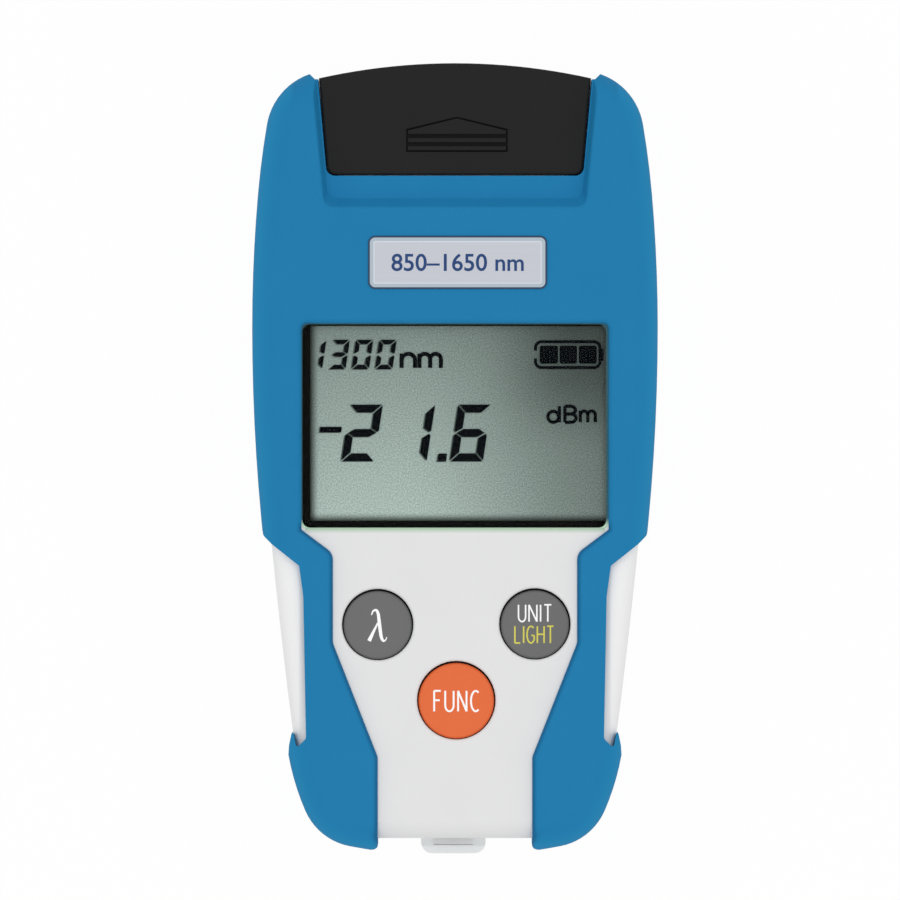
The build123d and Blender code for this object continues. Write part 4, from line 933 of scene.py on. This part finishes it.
nickel_brass = metal("nickel_plated_brass", "#BDB8AC", "#CFCABD",
                     roughness=0.25, grain=0.2, height=0.001)
finish(nickel_brass, "port_body")
zinc_steel = metal("zinc_plated_steel", "#A9ACB0", "#BBBEC2", roughness=0.35, grain=0.2, height=0.002)
finish(zinc_steel, "case_screws", "board_screws", "port_screws")
drawn_steel = metal("drawn_steel_can", "#B9BBBD", "#C9CBCD", roughness=0.3, grain=0.3, height=0.002)
finish(drawn_steel, "crystal_can", "detector_can")
spring_steel = metal("nickel_plated_spring_steel", "#BFBDB6", "#CECCC5",
                     roughness=0.28, grain=0.2, height=0.001)
finish(spring_steel, "contact_plates", "battery_springs")


# Ferrule sleeve
# A split tube of sintered zirconia inside the port, which grips the ceramic tip of a plug.
# The ceramic is ground smooth and is nearly white.

zirconia = moulded("sintered_zirconia", "#EDEBE4", "#F4F2EC",
                   roughness=0.3, gloss=0.5, grain=0.1, height=0.001)
finish(zirconia, "port_sleeve")


# Cells
# Three AAA cells in printed plastic jackets, the middle one the other way round.
# Each jacket is dark, with a pale grey band at the end with the nub.

BAND_LENGTH = 9.5
BAND_EDGE = 0.1


def cell_jacket(name, band_start, band_stop):
    """Shrunk plastic jacket with a slight shine; the edge of its band lies between two distances."""
    jacket = moulded(name, "#2F3A44", "#36424D", roughness=0.35, gloss=0.5, grain=0.3, height=0.004)
    return second_tone(jacket, "Y", band_start, band_stop, "#C4C9CD")


# Distances from the middle of the meter, along y, of the two ends of the cells and of their bands
cell_foot, cell_head = (-corner.y * 1000 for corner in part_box("battery_2"))
upper_band = cell_head + BAND_LENGTH
lower_band = cell_foot - BAND_LENGTH
outer_jacket = cell_jacket("jacket_with_upper_band", upper_band + BAND_EDGE, upper_band - BAND_EDGE)
finish(outer_jacket, "battery_1", "battery_3")
middle_jacket = cell_jacket("jacket_with_lower_band", lower_band - BAND_EDGE, lower_band + BAND_EDGE)
finish(middle_jacket, "battery_2")


# Bench, light and camera
# A white bench lit from above by four soft boxes round the camera, as on a copy stand.
# The camera is square over the face, with a long lens.

BENCH_HALF = 1500.0
BENCH_LEVEL = -0.03
BENCH_GLOW = 0.97
# Middle and half size, in metres, of the places in shade: two slits beside the cover, lanyard eye
SLIT_HALF = (0.0011, 0.00925)
EYE_HALF = (0.0034, 0.002)
SHADED = (((-0.0202, 0.04905), SLIT_HALF), ((0.0202, 0.04905), SLIT_HALF), ((0.0, -0.058), EYE_HALF))


def bench_white():
    """White card: it takes shadows, and mirrors and the lens see it nearly pure white,
    but not in the slits beside the cover and in the lanyard eye, where it lies in shade."""
    material, tree, shader, where = new_material("white_card")
    shader.inputs["Roughness"].default_value = 0.9
    shader.inputs["Specular IOR Level"].default_value = 0.0
    fibre = add(tree, "ShaderNodeTexNoise", {"Vector": where, "Scale": 400.0, "Detail": 2.0})
    tone = add(tree, "ShaderNodeMix", {
        0: fibre.outputs["Fac"], 6: linear("#EDEDED"), 7: linear("#F1F1F1")}, data_type="RGBA")
    tree.links.new(tone.outputs[2], shader.inputs["Base Color"])
    glow = add(tree, "ShaderNodeEmission", {"Color": linear("#FFFFFF"), "Strength": 1.0})
    ray = add(tree, "ShaderNodeLightPath")
    seen = add(tree, "ShaderNodeMath", {
        0: ray.outputs["Is Camera Ray"], 1: ray.outputs["Is Glossy Ray"]}, operation="MAXIMUM")
    seen = add(tree, "ShaderNodeMath", {
        0: seen.outputs[0], 1: ray.outputs["Is Transmission Ray"]}, operation="MAXIMUM")
    share = add(tree, "ShaderNodeMath", {0: seen.outputs[0], 1: BENCH_GLOW}, operation="MULTIPLY")
    # A place is clear of shade where it lies beyond the half size, across or along
    for middle, half in SHADED:
        off = add(tree, "ShaderNodeVectorMath", {0: where, 1: (*middle, 0.0)}, operation="SUBTRACT")
        off = add(tree, "ShaderNodeVectorMath", {0: off.outputs[0]}, operation="ABSOLUTE")
        off = add(tree, "ShaderNodeVectorMath", {0: off.outputs[0], 1: (*half, 1.0)},
                  operation="SUBTRACT")
        split = add(tree, "ShaderNodeSeparateXYZ", {0: off.outputs[0]})
        beyond = add(tree, "ShaderNodeMath", {0: split.outputs["X"], 1: split.outputs["Y"]},
                     operation="MAXIMUM")
        clear = add(tree, "ShaderNodeMath", {0: beyond.outputs[0], 1: 0.0},
                    operation="GREATER_THAN")
        share = add(tree, "ShaderNodeMath", {0: share.outputs[0], 1: clear.outputs[0]},
                    operation="MULTIPLY")
    both = add(tree, "ShaderNodeMixShader", {
        0: share.outputs[0], 1: shader.outputs[0], 2: glow.outputs[0]})
    tree.links.new(both.outputs[0], tree.nodes["Material Output"].inputs["Surface"])
    return material


def bench():
    """A flat square of card, 3 m wide, a hair below the rear face of the armour."""
    across, along = np.meshgrid([-BENCH_HALF, BENCH_HALF], [-BENCH_HALF, BENCH_HALF])
    points = np.stack([across, along, np.full((2, 2), BENCH_LEVEL)], axis=2)
    vertices, faces = surface(points, ring=False)
    mesh = bpy.data.meshes.new("bench")
    mesh.from_pydata((vertices / 1000).tolist(), [], faces.tolist())
    mesh.materials.append(bench_white())
    made = bpy.data.objects.new("bench", mesh)
    bpy.context.scene.collection.objects.link(made)


bench()

WORLD_LIGHT = 0.78
world = bpy.data.worlds.new("studio")
world.use_nodes = True
backdrop = world.node_tree.nodes["Background"]
backdrop.inputs["Color"].default_value = linear("#FFFFFF")
# The world lights the meter at its own level, and the lens sees it white
rays = add(world.node_tree, "ShaderNodeLightPath")
level = add(world.node_tree, "ShaderNodeMapRange", {
    "Value": rays.outputs["Is Camera Ray"], "To Min": WORLD_LIGHT, "To Max": 1.0})
world.node_tree.links.new(level.outputs["Result"], backdrop.inputs["Strength"])
bpy.context.scene.world = world

# Soft boxes at the corners of a rectangle, each turned towards the middle of the bench
BOX_SIDE = 0.6
BOX_PLACES = ((-0.6, 0.65), (0.6, 0.65), (-0.6, -0.45), (0.6, -0.45))
BOX_HEIGHT = 1.5
BOX_POWER = 1.8
for number, (x, y) in enumerate(BOX_PLACES):
    lamp = bpy.data.lights.new("soft_box_" + str(number), "AREA")
    lamp.shape = "SQUARE"
    lamp.size = BOX_SIDE
    lamp.energy = BOX_POWER
    box = bpy.data.objects.new(lamp.name, lamp)
    box.location = (x, y, BOX_HEIGHT)
    lean = math.atan2(math.hypot(x, y), BOX_HEIGHT)
    box.rotation_euler = (0.0, lean, math.atan2(y, x))
    bpy.context.scene.collection.objects.link(box)

# The field is as wide as the picture, at the level of the face
SENSOR = 36.0
DISTANCE = 3.0
FIELD = 0.13743
FACE_LEVEL = 0.025
CAMERA_X = -0.00076
CAMERA_Y = 0.00126
camera = bpy.data.cameras.new("camera")
camera.sensor_width = SENSOR
camera.lens = SENSOR * DISTANCE / FIELD
camera.clip_start = 0.05
view = bpy.data.objects.new("camera", camera)
view.location = (CAMERA_X, CAMERA_Y, FACE_LEVEL + DISTANCE)
bpy.context.scene.collection.objects.link(view)
bpy.context.scene.camera = view

bpy.context.scene.view_settings.view_transform = "Standard"
